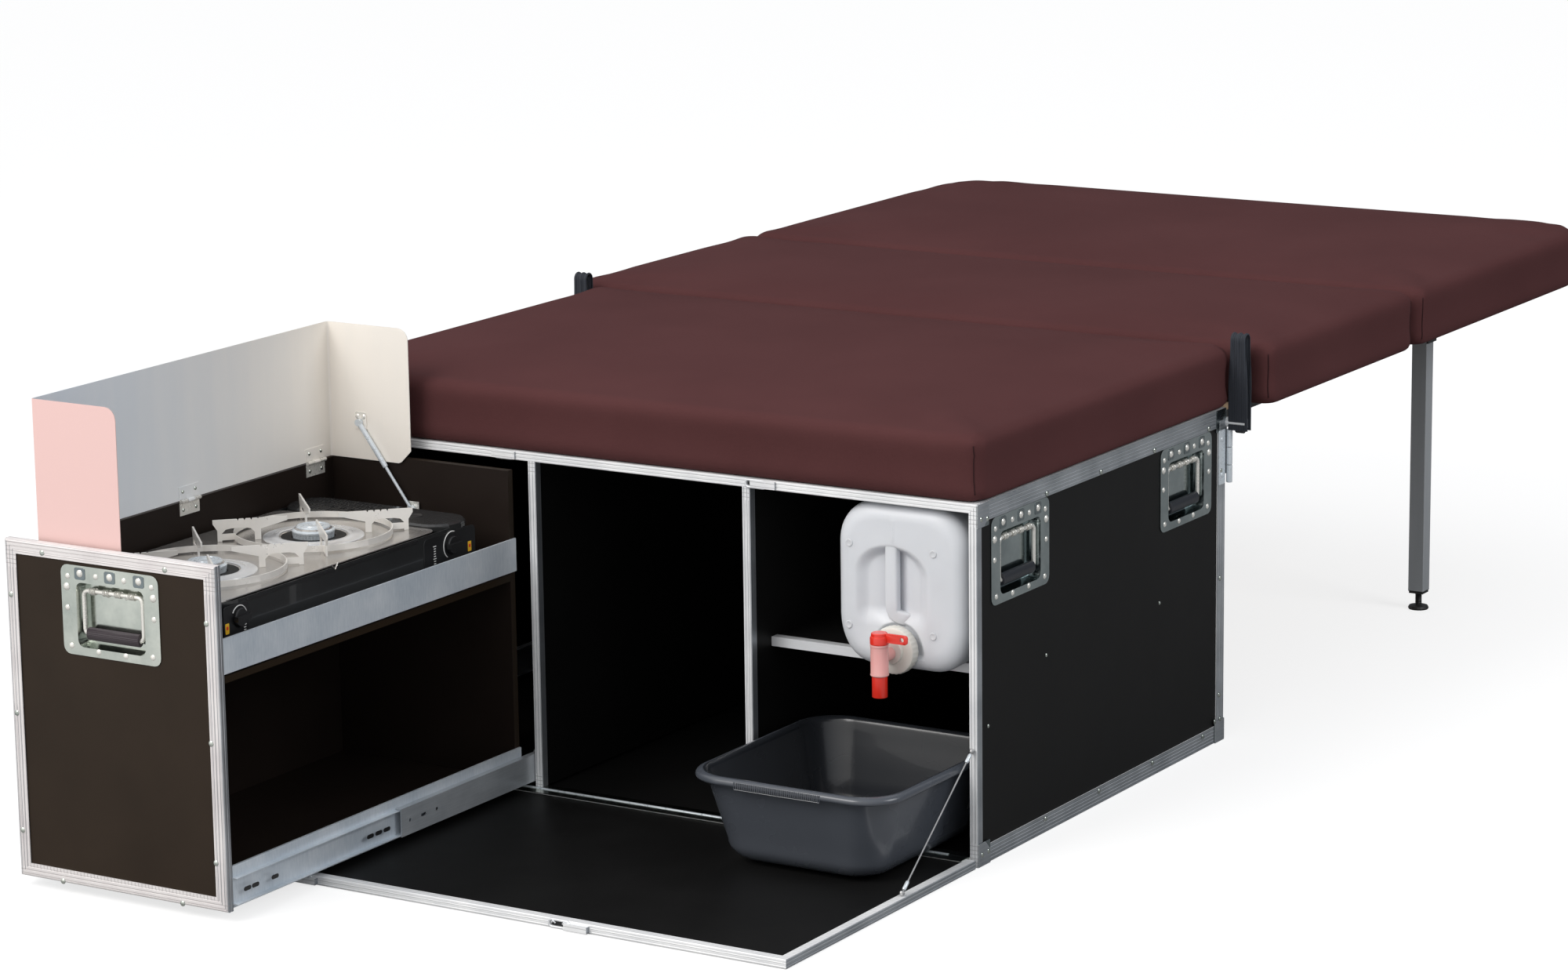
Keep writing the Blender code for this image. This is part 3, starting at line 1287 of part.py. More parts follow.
def build_stove_body(slider):
    """An enamelled pan on four feet, with the vented cover of the gas bay."""
    bm = bmesh.new()
    centre = (BURNER_X, STOVE_REAR - STOVE_LENGTH / 2)
    rings = []
    for inset, z in (
        (STOVE_RIM, STOVE_Z),
        (0.0, STOVE_Z + STOVE_RIM),
        (0.0, STOVE_TOP_Z),
        (STOVE_WALL, STOVE_TOP_Z),
        (STOVE_WALL, STOVE_Z + STOVE_RIM + STOVE_WALL),
    ):
        outline = round_rect(
            STOVE_WIDTH - 2 * inset, STOVE_LENGTH - 2 * inset, STOVE_ROUND - inset, 5, centre
        )
        rings.append(ring_at(outline, z))
    add_loft(bm, rings)
    body = finish("stove_body", bm, "black_enamel", slider, smooth=pi / 5)
    feet = bmesh.new()
    foot_length = STOVE_FOOT - GAP + STOVE_RIM
    for way_x in (-1, 1):
        for way_y in (-1, 1):
            x = centre[0] + way_x * (STOVE_WIDTH / 2 - STOVE_ROUND)
            y = centre[1] + way_y * (STOVE_LENGTH / 2 - STOVE_ROUND)
            add_cylinder(feet, (x, y, STOVE_SHELF_TOP + GAP), (0, 0, 1), foot_length, STOVE_FOOT_RADIUS, 12)
    fuse(body, "stove_feet", feet)
    cover_y = STOVE_REAR - STOVE_COVER_LENGTH / 2
    cover = bmesh.new()
    rings = []
    for inset, rise in ((STOVE_WALL / 2, -STOVE_RIM), (STOVE_WALL / 2, STOVE_COVER_RISE / 2), (STOVE_RIM, STOVE_COVER_RISE)):
        length = STOVE_COVER_LENGTH - 2 * inset
        outline = round_rect(STOVE_WIDTH - 2 * inset, length, STOVE_ROUND - inset, 5, (BURNER_X, cover_y))
        rings.append(ring_at(outline, STOVE_TOP_Z + rise))
    add_loft(cover, rings)
    fuse(body, "stove_cover", cover)
    vents = bmesh.new()
    start_z = STOVE_TOP_Z - 2 * OVERRUN
    for i in range(STOVE_VENTS):
        x = BURNER_X + (i - (STOVE_VENTS - 1) / 2) * STOVE_VENT_PITCH
        for way in (-0.5, 0.5):
            spot = (x, cover_y + way * STOVE_VENT_PITCH, start_z)
            add_cylinder(vents, spot, (0, 0, 1), 4 * OVERRUN, STOVE_VENT_RADIUS, 8)
    boolean(body, cutter("stove_vents", vents))


def build_stove_top(slider):
    """The bright plate, its two wells, the burners in them and the pan supports."""
    bm = bmesh.new()
    length = STOVE_LENGTH - STOVE_COVER_LENGTH - 2 * GAP
    middle_y = STOVE_REAR - STOVE_COVER_LENGTH - GAP - length / 2
    base = STOVE_TOP_Z + GAP
    outline = round_rect(STOVE_WIDTH - STOVE_TOP_INSET, length, STOVE_ROUND / 2, 4, (BURNER_X, middle_y))
    add_loft(bm, [ring_at(outline, base), ring_at(outline, base + STOVE_TOP_THICKNESS)])
    plate = finish("stove_top", bm, "stainless", slider, smooth=pi / 5)
    holes = bmesh.new()
    cups = bmesh.new()
    wall = STOVE_TOP_THICKNESS
    radius = STOVE_WELL_RADIUS
    for x, y in burner_places():
        add_cylinder(holes, (x, y, base - OVERRUN), (0, 0, 1), 2 * OVERRUN, radius, 24)
        floor = radius * STOVE_WELL_FLOOR_SHARE
        cup = [
            (floor, -STOVE_WELL_DEPTH),
            (radius - wall, 0.0),
            (radius + 2 * wall, wall / 2),
            (radius + 2 * wall, 2 * wall),
            (radius - wall, 2 * wall),
            (floor - wall, wall - STOVE_WELL_DEPTH),
        ]
        add_turned(cups, cup, (x, y, base), (0, 0, 1))
    boolean(plate, cutter("stove_plate_holes", holes))
    fuse(plate, "stove_wells", cups)
    fuse(plate, "stove_burners", burner_heads(base - STOVE_WELL_DEPTH + wall / 2))


def burner_heads(floor):
    bm = bmesh.new()
    top = BURNER_HEIGHT
    base, head = BURNER_PROFILE_SHARES
    profile = [(BURNER_BASE_RADIUS, top * share) for share in base]
    profile += [(BURNER_HEAD_RADIUS, top * share) for share in head]
    profile.append((BURNER_CAP_RADIUS, top))
    for x, y in burner_places():
        add_turned(bm, profile, (x, y, floor), (0, 0, 1), 16)
    return bm


def support_reach():
    front, rear = burner_places()
    return (rear[1] - front[1] - SUPPORT_APART) / sqrt(2)


def support_outline():
    """One notched arm on its two legs: distance from the burner, height above the plate."""
    high = SUPPORT_HEIGHT
    tip = support_reach()
    foot = tip - SUPPORT_LEG / 2
    leg = tip - SUPPORT_LEG
    arch = (tip - SUPPORT_START) * SUPPORT_ARCH_SHARE
    inner = leg - arch
    rise = SUPPORT_ARCH_RISE
    ring = tip - SUPPORT_RING_INSET - SUPPORT_RING_WALL
    low = SUPPORT_RING_RISE
    points = [(leg, 0.0), (foot, 0.0), (foot, high / 2), (tip, high - SUPPORT_TIP), (tip, high)]
    for share in SUPPORT_NOTCH_SHARES:
        middle = tip - (tip - SUPPORT_START) * share
        points += [(middle + SUPPORT_NOTCH / 2, high), (middle, high - SUPPORT_NOTCH), (middle - SUPPORT_NOTCH / 2, high)]
    points += [(SUPPORT_START, high), (SUPPORT_START, high - SUPPORT_TIP)]
    points += [(inner - SUPPORT_INNER_LEG, high / 2), (inner - SUPPORT_INNER_LEG, 0.0), (inner, 0.0)]
    for turn, lift in SUPPORT_ARCH_SHARES:
        points.append((inner + arch * turn, rise * lift))
    points += [(leg, low + SUPPORT_RING_DEPTH), (ring, low + SUPPORT_RING_DEPTH), (ring, low), (leg, low)]
    return points


def add_hoop(bm, centre, radius):
    """A flat band bent into a level ring."""
    half = SUPPORT_RING_WALL / 2
    rings = []
    for step in range(36):
        angle = tau * step / 36
        out = Vector((cos(angle), sin(angle), 0))
        corners = ((-half, 0.0), (half, 0.0), (half, SUPPORT_RING_DEPTH), (-half, SUPPORT_RING_DEPTH))
        rings.append([Vector(centre) + out * (radius + side) + Vector((0, 0, lift)) for side, lift in corners])
    add_loft(bm, rings, closed=True)


def build_pan_supports(slider):
    """Over each burner, a flat hoop with four notched arms welded across it."""
    base = STOVE_TOP_Z + GAP + STOVE_TOP_THICKNESS + GAP
    outline = support_outline()
    half = SUPPORT_THICKNESS / 2
    for name, (x, y) in zip(("front_pan_support", "rear_pan_support"), burner_places()):
        bm = bmesh.new()
        add_hoop(bm, (x, y, base + SUPPORT_RING_RISE), support_reach() - SUPPORT_RING_INSET)
        support = finish(name, bm, "stainless", slider, smooth=pi / 6)
        arms = bmesh.new()
        for quarter in range(4):
            angle = (quarter + 0.5) * pi / 2
            out = Vector((cos(angle), sin(angle), 0))
            side = out.cross(Vector((0, 0, 1)))
            origin = Vector((x, y, base)) - side * half
            add_prism(arms, outline, out, (0, 0, 1), origin, SUPPORT_THICKNESS)
        fuse(support, name + "_arms", arms)


def build_stove_knobs(slider):
    front = STOVE_REAR - STOVE_LENGTH + KNOB_FRONT_INSET
    rear = STOVE_REAR - KNOB_REAR_INSET
    z = STOVE_Z + KNOB_RISE
    face = STOVE_RIGHT + GAP
    for name, y in (("front_knob", front), ("rear_knob", rear)):
        turner = pivot(name + "_pivot", (face, y, z), slider)
        bm = bmesh.new()
        profile = [(KNOB_RADIUS * a, KNOB_DEPTH * b) for a, b in KNOB_PROFILE_SHARES]
        add_turned(bm, profile, (face, y, z), (1, 0, 0))
        knob = finish(name, bm, "black_poly", turner, smooth=pi / 5)
        bar = bmesh.new()
        near = face + KNOB_DEPTH / 2
        low = (near, y - KNOB_BAR_LENGTH / 2, z - KNOB_BAR_WIDTH / 2)
        high = (face + KNOB_DEPTH + KNOB_BAR_DEPTH, y + KNOB_BAR_LENGTH / 2, z + KNOB_BAR_WIDTH / 2)
        add_box(bar, low, high)
        fuse(knob, name + "_bar", bar)


# Water canister and tap
def build_canister(mover):
    """A blow-moulded can, rounded all over, with an upright grip in its front."""
    bm = bmesh.new()
    rings = []
    steps = 4
    radius = CAN_ROUND
    middle_z = CAN_Z + CAN_HEIGHT / 2
    ends = []
    for step in range(steps + 1):
        angle = step / steps * pi / 2
        ends.append((radius * (1 - cos(angle)), radius * (1 - sin(angle))))
    stations = [(CAN_FRONT + reach, inset) for reach, inset in ends]
    stations += [(CAN_FRONT + CAN_LENGTH - reach, inset) for reach, inset in reversed(ends)]
    for y, inset in stations:
        corner = max(radius - inset, radius / 4)
        outline = round_rect(CAN_WIDTH - 2 * inset, CAN_HEIGHT - 2 * inset, corner, 4, (CAN_X, middle_z))
        rings.append([Vector((a, y, b)) for a, b in outline])
    add_loft(bm, rings)
    can = finish("canister", bm, "white_poly", mover, smooth=pi / 4)
    half = CAN_HANDLE_WIDTH / 2
    wide = half + CAN_POCKET_WIDTH
    outline = [
        (-wide, -OVERRUN),
        (-wide, CAN_POCKET_DEPTH),
        (wide, CAN_POCKET_DEPTH),
        (wide, -OVERRUN),
        (half, -OVERRUN),
        (half, CAN_HANDLE_DEPTH),
        (-half, CAN_HANDLE_DEPTH),
        (-half, -OVERRUN),
    ]
    pocket = bmesh.new()
    start = (CAN_X + CAN_HANDLE_SHIFT, CAN_FRONT, CAN_Z + CAN_HANDLE_RISE)
    add_prism(pocket, outline, (1, 0, 0), (0, 1, 0), start, CAN_POCKET_HEIGHT)
    boolean(can, cutter("canister_grip_pocket", pocket))


def build_tap(mover):
    """The screw cap and its barrel tap, with the lever that turns on top."""
    bm = bmesh.new()
    face = CAN_FRONT - GAP
    profile = [(CAP_RADIUS * a, CAP_DEPTH * b) for a, b in CAP_PROFILE_SHARES]
    add_turned(bm, profile, (CAP_X, face, CAP_Z), (0, -1, 0), 32)
    tap = finish("tap_body", bm, "pink_poly", mover, smooth=pi / 5)
    neck = bmesh.new()
    neck_start = face - CAP_DEPTH / 2
    add_cylinder(neck, (CAP_X, neck_start, CAP_Z), (0, -1, 0), neck_start - TAP_Y, TAP_NECK_RADIUS, 20)
    fuse(tap, "tap_neck", neck)
    barrel = bmesh.new()
    bottom = CAP_Z - TAP_BODY_BELOW
    add_cylinder(barrel, (CAP_X, TAP_Y, bottom), (0, 0, 1), TAP_BODY_BELOW + TAP_BODY_ABOVE, TAP_RADIUS, 24)
    fuse(tap, "tap_barrel", barrel)
    spout = bmesh.new()
    start = (CAP_X, TAP_Y, bottom + TAP_SPOUT_WALL)
    bore = TAP_SPOUT_RADIUS - TAP_SPOUT_WALL
    add_tube_ring(spout, start, (0, 0, -1), TAP_SPOUT_LENGTH, TAP_SPOUT_RADIUS, bore, 24)
    fuse(tap, "tap_spout", spout)
    head_z = CAP_Z + TAP_BODY_ABOVE + GAP
    turner = pivot("tap_lever_pivot", (CAP_X, TAP_Y, head_z), mover)
    bm = bmesh.new()
    head = [(TAP_RADIUS * a, TAP_HEAD_HEIGHT * b) for a, b in TAP_HEAD_SHARES]
    add_turned(bm, head, (CAP_X, TAP_Y, head_z), (0, 0, 1))
    lever = finish("tap_lever", bm, "red_poly", turner, smooth=pi / 5)
    arm = bmesh.new()
    middle = TAP_LEVER_LENGTH / 2
    outline = round_rect(TAP_LEVER_LENGTH, TAP_LEVER_WIDTH, TAP_LEVER_WIDTH / 2 - GAP, 4, (middle, 0.0))
    start = (CAP_X, TAP_Y, head_z + TAP_HEAD_HEIGHT / 2 - TAP_LEVER_THICKNESS / 2)
    add_prism(arm, outline, (1, 0, 0), (0, 1, 0), start, TAP_LEVER_THICKNESS)
    fuse(lever, "tap_lever_arm", arm)


# Washing bowl
def build_bowl(mover):
    bm = bmesh.new()
    centre = (RIGHT - CHANNEL_WIDTH - BOWL_RIGHT_GAP - BOWL_WIDTH / 2, FRONT - BOWL_OUTSIDE + BOWL_LENGTH / 2)
    top = BOWL_Z + BOWL_HEIGHT
    wall = BOWL_WALL
    outer = BOWL_RIM
    foot = BOWL_RIM + BOWL_TAPER
    rings = []
    for inset, z in (
        (foot + wall, BOWL_Z),
        (foot - wall, BOWL_Z + wall),
        (foot - 2 * wall, BOWL_Z + 3 * wall),
        (outer, top - BOWL_LIP),
        (0.0, top - BOWL_LIP),
        (0.0, top - wall / 2),
        (wall / 2, top),
        (outer, top),
        (outer + wall, top - wall),
        (foot - wall, BOWL_Z + 3 * wall),
        (foot + 2 * wall, BOWL_Z + wall),
    ):
        corner = BOWL_ROUND * (1 - inset / BOWL_WIDTH)
        outline = round_rect(BOWL_WIDTH - 2 * inset, BOWL_LENGTH - 2 * inset, corner, 6, centre)
        rings.append(ring_at(outline, z))
    add_loft(bm, rings)
    finish("bowl", bm, "grey_poly", mover, smooth=pi / 4)


# Bed
def build_bed():
    """Two long bars, three cross bars, and the ears and pins for the legs."""
    bm = bmesh.new()
    end = BED_START + BED_LENGTH
    half = BED_BAR_WIDTH / 2
    for x in (-BED_BAR_X, BED_BAR_X):
        add_box(bm, (x - half, BED_START, BED_BAR_Z), (x + half, end, BED_BAR_TOP))
    frame = finish("bed_frame", bm, "steel")
    cross = bmesh.new()
    for middle in (BED_FIRST_CROSS_Y, BED_SPLIT_Y, LEG_Y):
        low = (-BED_BAR_X, middle - BED_CROSS_WIDTH / 2, BED_BAR_Z + GAP)
        add_box(cross, low, (BED_BAR_X, middle + BED_CROSS_WIDTH / 2, BED_BAR_TOP - GAP))
    fuse(frame, "bed_cross_bars", cross)
    ears = bmesh.new()
    pins = bmesh.new()
    ear_low = LEG_AXIS_Z - LEG_EAR_DROP
    clear = LEG_SIZE / 2 + 2 * GAP
    for x in (-LEG_X, LEG_X):
        for near in (x - clear - LEG_EAR, x + clear):
            low = (near, LEG_Y - LEG_EAR_WIDTH / 2, ear_low)
            add_box(ears, low, (near + LEG_EAR, LEG_Y + LEG_EAR_WIDTH / 2, BED_BAR_Z + LEG_EAR))
        start = (x - clear - LEG_EAR / 2, LEG_Y, LEG_AXIS_Z)
        add_cylinder(pins, start, (1, 0, 0), 2 * clear + LEG_EAR, LEG_PIN_RADIUS)
    fuse(frame, "leg_ears", ears)
    fuse(frame, "leg_pins", pins)
    board_z = BED_BAR_TOP + GAP
    outer = BED_BAR_X + half
    box_part("bed_board", (-outer, BED_START, board_z), (outer, end, board_z + BED_BOARD), "birch")


def build_leg(side, x):
    """A square tube on its pin, with the screwed foot in its lower end."""
    hinge = pivot(side + "_leg_pivot", (x, LEG_Y, LEG_AXIS_Z))
    bm = bmesh.new()
    rings = []
    inside = LEG_SIZE - 2 * LEG_WALL
    for size, z in (
        (LEG_SIZE, LEG_BOTTOM_Z),
        (LEG_SIZE, LEG_TOP_Z),
        (inside, LEG_TOP_Z),
        (inside, LEG_BOTTOM_Z),
    ):
        rings.append(ring_at(round_rect(size, size, LEG_WALL / 2, 2, (x, LEG_Y)), z))
    add_loft(bm, rings, closed=True)
    leg = finish(side + "_leg", bm, "aluminium", hinge)
    leg.data.materials.append(MATERIALS["black_poly"])
    drill = bmesh.new()
    bore = (LEG_PIN_RADIUS + GAP) / cos(pi / 16)
    start = (x - LEG_SIZE, LEG_Y, LEG_AXIS_Z)
    add_cylinder(drill, start, (1, 0, 0), 2 * LEG_SIZE, bore)
    boolean(leg, cutter(side + "_leg_drill", drill))
    plug = bmesh.new()
    plug_low = LEG_BOTTOM_Z - FOOT_CAP
    side_length = LEG_SIZE - LEG_WALL
    outline = round_rect(side_length, side_length, LEG_WALL / 2, 2, (x, LEG_Y))
    add_loft(plug, [ring_at(outline, plug_low), ring_at(outline, LEG_BOTTOM_Z + FOOT_CAP)])
    fuse(leg, side + "_leg_plug", plug)
    foot = bmesh.new()
    profile = [(FOOT_RADIUS * a, FOOT_DISC * b) for a, b in FOOT_PROFILE_SHARES]
    profile.append((FOOT_STEM_RADIUS, FOOT_DISC + LEG_WALL))
    profile.append((FOOT_STEM_RADIUS, LEG_BOTTOM_Z))
    add_turned(foot, profile, (x, LEG_Y, 0.0), (0, 0, 1))
    fuse(leg, side + "_foot", foot)


# Mattress
def cushion_outline(half_width, start, end, radii, inset):
    """Plan of a cushion.  radii are those of its front and rear corners."""
    front, rear = [max(radius - inset, MATTRESS_EDGE / 4) for radius in radii]
    x = half_width - inset
    arcs = []
    for corner, (way_x, way_y) in enumerate(((1, 1), (-1, 1), (-1, -1), (1, -1))):
        radius = rear if way_y > 0 else front
        middle_y = end - inset - radius if way_y > 0 else start + inset + radius
        arc = []
        for step in range(6):
            angle = (corner + step / 5) * pi / 2
            arc.append((way_x * (x - radius) + radius * cos(angle), middle_y + radius * sin(angle)))
        arcs.append(arc)
    points = []
    for arc, following in zip(arcs, arcs[1:] + arcs[:1]):
        points += arc
        begin = arc[-1]
        stop = following[0]
        for share in (1 / 3, 2 / 3):
            points.append(tuple(a + (b - a) * share for a, b in zip(begin, stop)))
    return points


def build_cushion(name, width, start, end, radii):
    """One section: rounded edges, slightly drawn-in sides and a crowned top."""
    edge = MATTRESS_EDGE
    near = edge * CUSHION_EDGE_SHARE
    tall = MATTRESS_THICKNESS
    levels = [
        (edge, 0.0),
        (near, near),
        (0.0, edge),
        (MATTRESS_DRAW, tall / 2),
        (0.0, tall - edge),
        (near, tall - near),
        (edge, tall),
    ]
    room = min(width, end - start) / 2 - edge
    for share in CUSHION_CROWN_SHARES:
        levels.append((edge + share * room, tall + MATTRESS_CROWN * (1 - (1 - share) ** 2)))
    bm = bmesh.new()
    rings = []
    for inset, rise in levels:
        outline = cushion_outline(width / 2, start, end, radii, inset)
        rings.append(ring_at(outline, MATTRESS_Z + rise))
    add_loft(bm, rings)
    finish(name, bm, "maroon_cloth", smooth=pi / 3)


def build_mattress():
    small = MATTRESS_SMALL_CORNER
    front = FRONT - MATTRESS_FRONT_OVERHANG
    middle = MATTRESS_MIDDLE_START
    rear = MATTRESS_REAR_START
    split = MATTRESS_SPLIT
    build_cushion("mattress_front", MATTRESS_FRONT_WIDTH, front, middle - split, (small, small))
    build_cushion("mattress_middle", MATTRESS_WIDE, middle, rear - split, (small, small))
    build_cushion("mattress_rear", MATTRESS_WIDE, rear, MATTRESS_END, (small, MATTRESS_REAR_CORNER))


def build_strap():
    """A webbing loop round the right bed hinge barrel, standing past the mattress."""
    bm = bmesh.new()
    radius = HINGE_BARREL_RADIUS + STRAP_PLAY
    y = REAR + HINGE_BARREL_SETBACK
    path = []
    normals = []
    for middle, first in ((TOP - HINGE_BARREL_DROP, 1), (STRAP_TOP - radius - STRAP_THICKNESS, 0)):
        for step in range(9):
            angle = (first + step / 8) * pi
            out = (cos(angle), sin(angle))
            path.append((y + radius * out[0], middle + radius * out[1]))
            normals.append(out)
    count = len(path)
    near = RIGHT + STRAP_OFFSET
    add_ribbon(bm, path, normals, [near] * count, [near + STRAP_WIDTH] * count, STRAP_THICKNESS, closed=True)
    on_side = Matrix(((0, 0, 1, 0), (1, 0, 0, 0), (0, 1, 0, 0), (0, 0, 0, 1)))
    bmesh.ops.transform(bm, matrix=on_side, verts=bm.verts)
    finish("strap", bm, "black_webbing", smooth=pi / 4)


def build_all():
    build_box_panels()
    build_dividers()
    build_canister_shelf()
    build_edge_frame()
    build_side_handles()
    build_flap()
    build_piano_hinge()
    build_flap_cable()
    slider = pivot("drawer_slider", (DRAWER_X, DRAWER_FRONT, DRAWER_BOTTOM))
    build_drawer_front(slider)
    build_drawer_body(slider)
    build_slides(slider)
    screen_middle = (SCREEN_FRONT_FACE + SCREEN_REAR_FACE) / 2
    folder = pivot("windscreen_pivot", (SCREEN_AXIS_X, screen_middle, SCREEN_AXIS_Z), slider)
    build_windscreen(folder)
    build_panel_hinges(slider)
    build_stay(slider)
    build_stove_body(slider)
    build_stove_top(slider)
    build_pan_supports(slider)
    build_stove_knobs(slider)
    can_mover = pivot("canister_mover", (CAN_X, CAN_FRONT, CAN_Z))
    build_canister(can_mover)
    build_tap(can_mover)
    build_bowl(pivot("bowl_mover", (RIGHT - BOWL_WIDTH, FRONT, BOWL_Z)))
    build_bed()
    build_leg("right", LEG_X)
    build_leg("left", -LEG_X)
    build_mattress()
    build_strap()


build_all()
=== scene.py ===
import bmesh
import bpy
import numpy as np
from mathutils import Matrix, Vector


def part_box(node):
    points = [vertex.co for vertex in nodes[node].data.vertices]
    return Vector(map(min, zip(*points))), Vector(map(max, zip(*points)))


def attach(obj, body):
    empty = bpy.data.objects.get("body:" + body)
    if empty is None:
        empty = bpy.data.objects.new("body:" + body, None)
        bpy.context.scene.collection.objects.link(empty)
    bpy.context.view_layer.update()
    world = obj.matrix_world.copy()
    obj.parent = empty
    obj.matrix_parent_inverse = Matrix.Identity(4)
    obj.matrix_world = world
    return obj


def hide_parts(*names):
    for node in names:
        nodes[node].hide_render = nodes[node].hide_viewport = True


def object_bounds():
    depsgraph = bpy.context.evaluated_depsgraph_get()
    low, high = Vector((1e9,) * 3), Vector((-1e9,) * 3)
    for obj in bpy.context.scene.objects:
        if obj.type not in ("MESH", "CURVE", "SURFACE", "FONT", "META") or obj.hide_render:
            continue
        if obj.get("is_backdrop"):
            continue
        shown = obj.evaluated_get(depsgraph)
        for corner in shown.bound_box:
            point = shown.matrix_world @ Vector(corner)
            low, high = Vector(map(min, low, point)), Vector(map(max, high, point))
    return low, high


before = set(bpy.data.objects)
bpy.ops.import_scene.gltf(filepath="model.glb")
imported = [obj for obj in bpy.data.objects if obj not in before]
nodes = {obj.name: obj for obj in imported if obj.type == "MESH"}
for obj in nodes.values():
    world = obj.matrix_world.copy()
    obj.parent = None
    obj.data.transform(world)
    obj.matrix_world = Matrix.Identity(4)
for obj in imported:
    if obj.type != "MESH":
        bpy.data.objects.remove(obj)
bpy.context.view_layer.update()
print("frame loaded")


# Every fourth corner joins the next row and the next column, and the columns close round.
def gridFaces(rows, columns, start, closeRows):
    row = np.arange(rows if closeRows else rows - 1)[:, None]
    column = np.arange(columns)[None, :]
    nextRow = (row + 1) % rows
    nextColumn = (column + 1) % columns
    corners = (
        row * columns + column,
        row * columns + nextColumn,
        nextRow * columns + nextColumn,
        nextRow * columns + column,
    )
    return np.stack([corner.ravel() for corner in corners], axis=1) + start


# A piece is a list of point grids. Rows that shrink to one point close its ends.
def buildPiece(name, grids, finish, body, angle=32.0, closeRows=False):
    points = np.concatenate([grid.reshape(-1, 3) for grid in grids])
    faces = []
    start = 0
    for grid in grids:
        faces.append(gridFaces(grid.shape[0], grid.shape[1], start, closeRows))
        start += grid.shape[0] * grid.shape[1]
    mesh = bpy.data.meshes.new(name)
    mesh.from_pydata(points.tolist(), [], np.concatenate(faces).tolist())
    shape = bmesh.new()
    shape.from_mesh(mesh)
    bmesh.ops.remove_doubles(shape, verts=shape.verts, dist=2e-6)
    bmesh.ops.recalc_face_normals(shape, faces=shape.faces)
    shape.to_mesh(mesh)
    shape.free()
    mesh.shade_smooth()
    mesh.set_sharp_from_angle(angle=np.radians(angle))
    mesh.materials.append(look[finish])
    piece = bpy.data.objects.new(name, mesh)
    bpy.context.scene.collection.objects.link(piece)
    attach(piece, body)
    return piece


def circle(turn):
    return np.stack([np.cos(turn), np.sin(turn)], axis=1)


def fullTurn(count):
    return np.linspace(0.0, 2 * np.pi, count, endpoint=False)


# A rectangle whose four corners have their own radii, counted from +u +v round to +u -v.
def cornerRect(low, high, radii, steps):
    turn = np.linspace(0.0, np.pi / 2, steps + 1)
    signs = np.array(((1, 1), (-1, 1), (-1, -1), (1, -1)))
    arcs = []
    for index, (sign, radius) in enumerate(zip(signs, radii)):
        corner = np.where(sign > 0, high, low) - sign * radius
        arcs.append(corner + radius * circle(turn + index * np.pi / 2))
    return np.concatenate(arcs)


def roundRect(width, height, radius, steps):
    reach = np.array([width, height]) / 2
    return cornerRect(-reach, reach, (radius,) * 4, steps)


def unit(vector):
    return np.asarray(vector, float) / np.linalg.norm(vector)


# Two unit vectors square to an axis, and the axis.
def frameOf(axis):
    axis = unit(axis)
    across = unit(np.cross((0, 0, 1) if abs(axis[2]) < 0.9 else (1, 0, 0), axis))
    return across, np.cross(axis, across), axis


# Directions of u, v and w for places on the sides, on the front and on a level face.
def sideways(way):
    return (0, way, 0), (0, 0, 1), (way, 0, 0)


rightward = sideways(1)
frontward = ((1, 0, 0), (0, 0, 1), (0, -1, 0))
upward = ((1, 0, 0), (0, 1, 0), (0, 0, 1))


# Local u, v, w points carried to a place with its three directions.
def place(grid, origin, across, up, out):
    return np.asarray(origin) + grid @ np.array([across, up, out], float)


def layer(outline, height):
    return np.column_stack([outline, np.full(len(outline), height)])


# Rows closed by one point at each end.
def capped(rows, first, last):
    count = (len(rows[0]), 1)
    return np.array([np.tile(first, count), *rows, np.tile(last, count)])


# A turned body: each profile pair is a radius and a height along the axis.
def turned(profile, centre, sides, axis=(0, 0, 1)):
    ring = circle(fullTurn(sides))
    rows = [layer(radius * ring, height) for radius, height in profile]
    return place(np.array(rows), centre, *frameOf(axis))


# A turned body about an origin whose marked rows have ridges: there a function of the turn
# scales the radius.
def ridged(rows, ridge, sides, origin, directions):
    turn = fullTurn(sides)
    grid = []
    for radius, height, marked in rows:
        swell = ridge(turn)[:, None] if marked else 1.0
        grid.append(layer(radius * swell * circle(turn), height))
    return place(np.array(grid), origin, *directions)


# A round tube along a path. The circle's plane turns with the path and never twists.
def tubeAlong(path, radius, sides=8, closed=False):
    path = np.asarray(path, float)
    if closed:
        ahead = np.roll(path, -1, axis=0) - np.roll(path, 1, axis=0)
    else:
        ahead = np.gradient(path, axis=0)
    ahead /= np.linalg.norm(ahead, axis=1)[:, None]
    across = frameOf(ahead[0])[0]
    rings = []
    for spot, way in zip(path, ahead):
        across = unit(across - way * np.dot(across, way))
        up = np.cross(way, across)
        rings.append(spot + radius * circle(fullTurn(sides)) @ (across, up))
    return np.array(rings) if closed else capped(rings, path[0], path[-1])


# A flat plate of any star-shaped outline, its edges rounded by a small inset.
def plate(outline, depth, edge):
    outline = np.asarray(outline, float)
    middle = outline.mean(axis=0)
    reach = np.linalg.norm(outline - middle, axis=1)[:, None]
    inner = middle + (outline - middle) * (1 - edge / reach)
    steps = ((inner, 0.0), (outline, edge), (outline, depth - edge), (inner, depth))
    return capped([layer(*step) for step in steps], (*middle, 0.0), (*middle, depth))


def slab(width, height, radius, depth, edge, steps=3):
    return plate(roundRect(width, height, radius, steps), depth, edge)


# A low dome with a skirt, for rivet heads: height falls with the square of the radius.
def dome(radius, height, sides=10):
    share = np.array([0.0, 0.45, 0.8, 1.0, 1.0])
    rise = np.array([1.0, 0.86, 0.5, 0.12, -0.25])
    return turned(np.stack([radius * share, height * rise], axis=1), (0, 0, 0), sides)


# Copies of one local grid, each at its own spot and direction.
def stamp(grid, spots):
    return [place(grid, spot, *frameOf(out)) for spot, out in spots]


def corners(node):
    return [np.array(corner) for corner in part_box(node)]


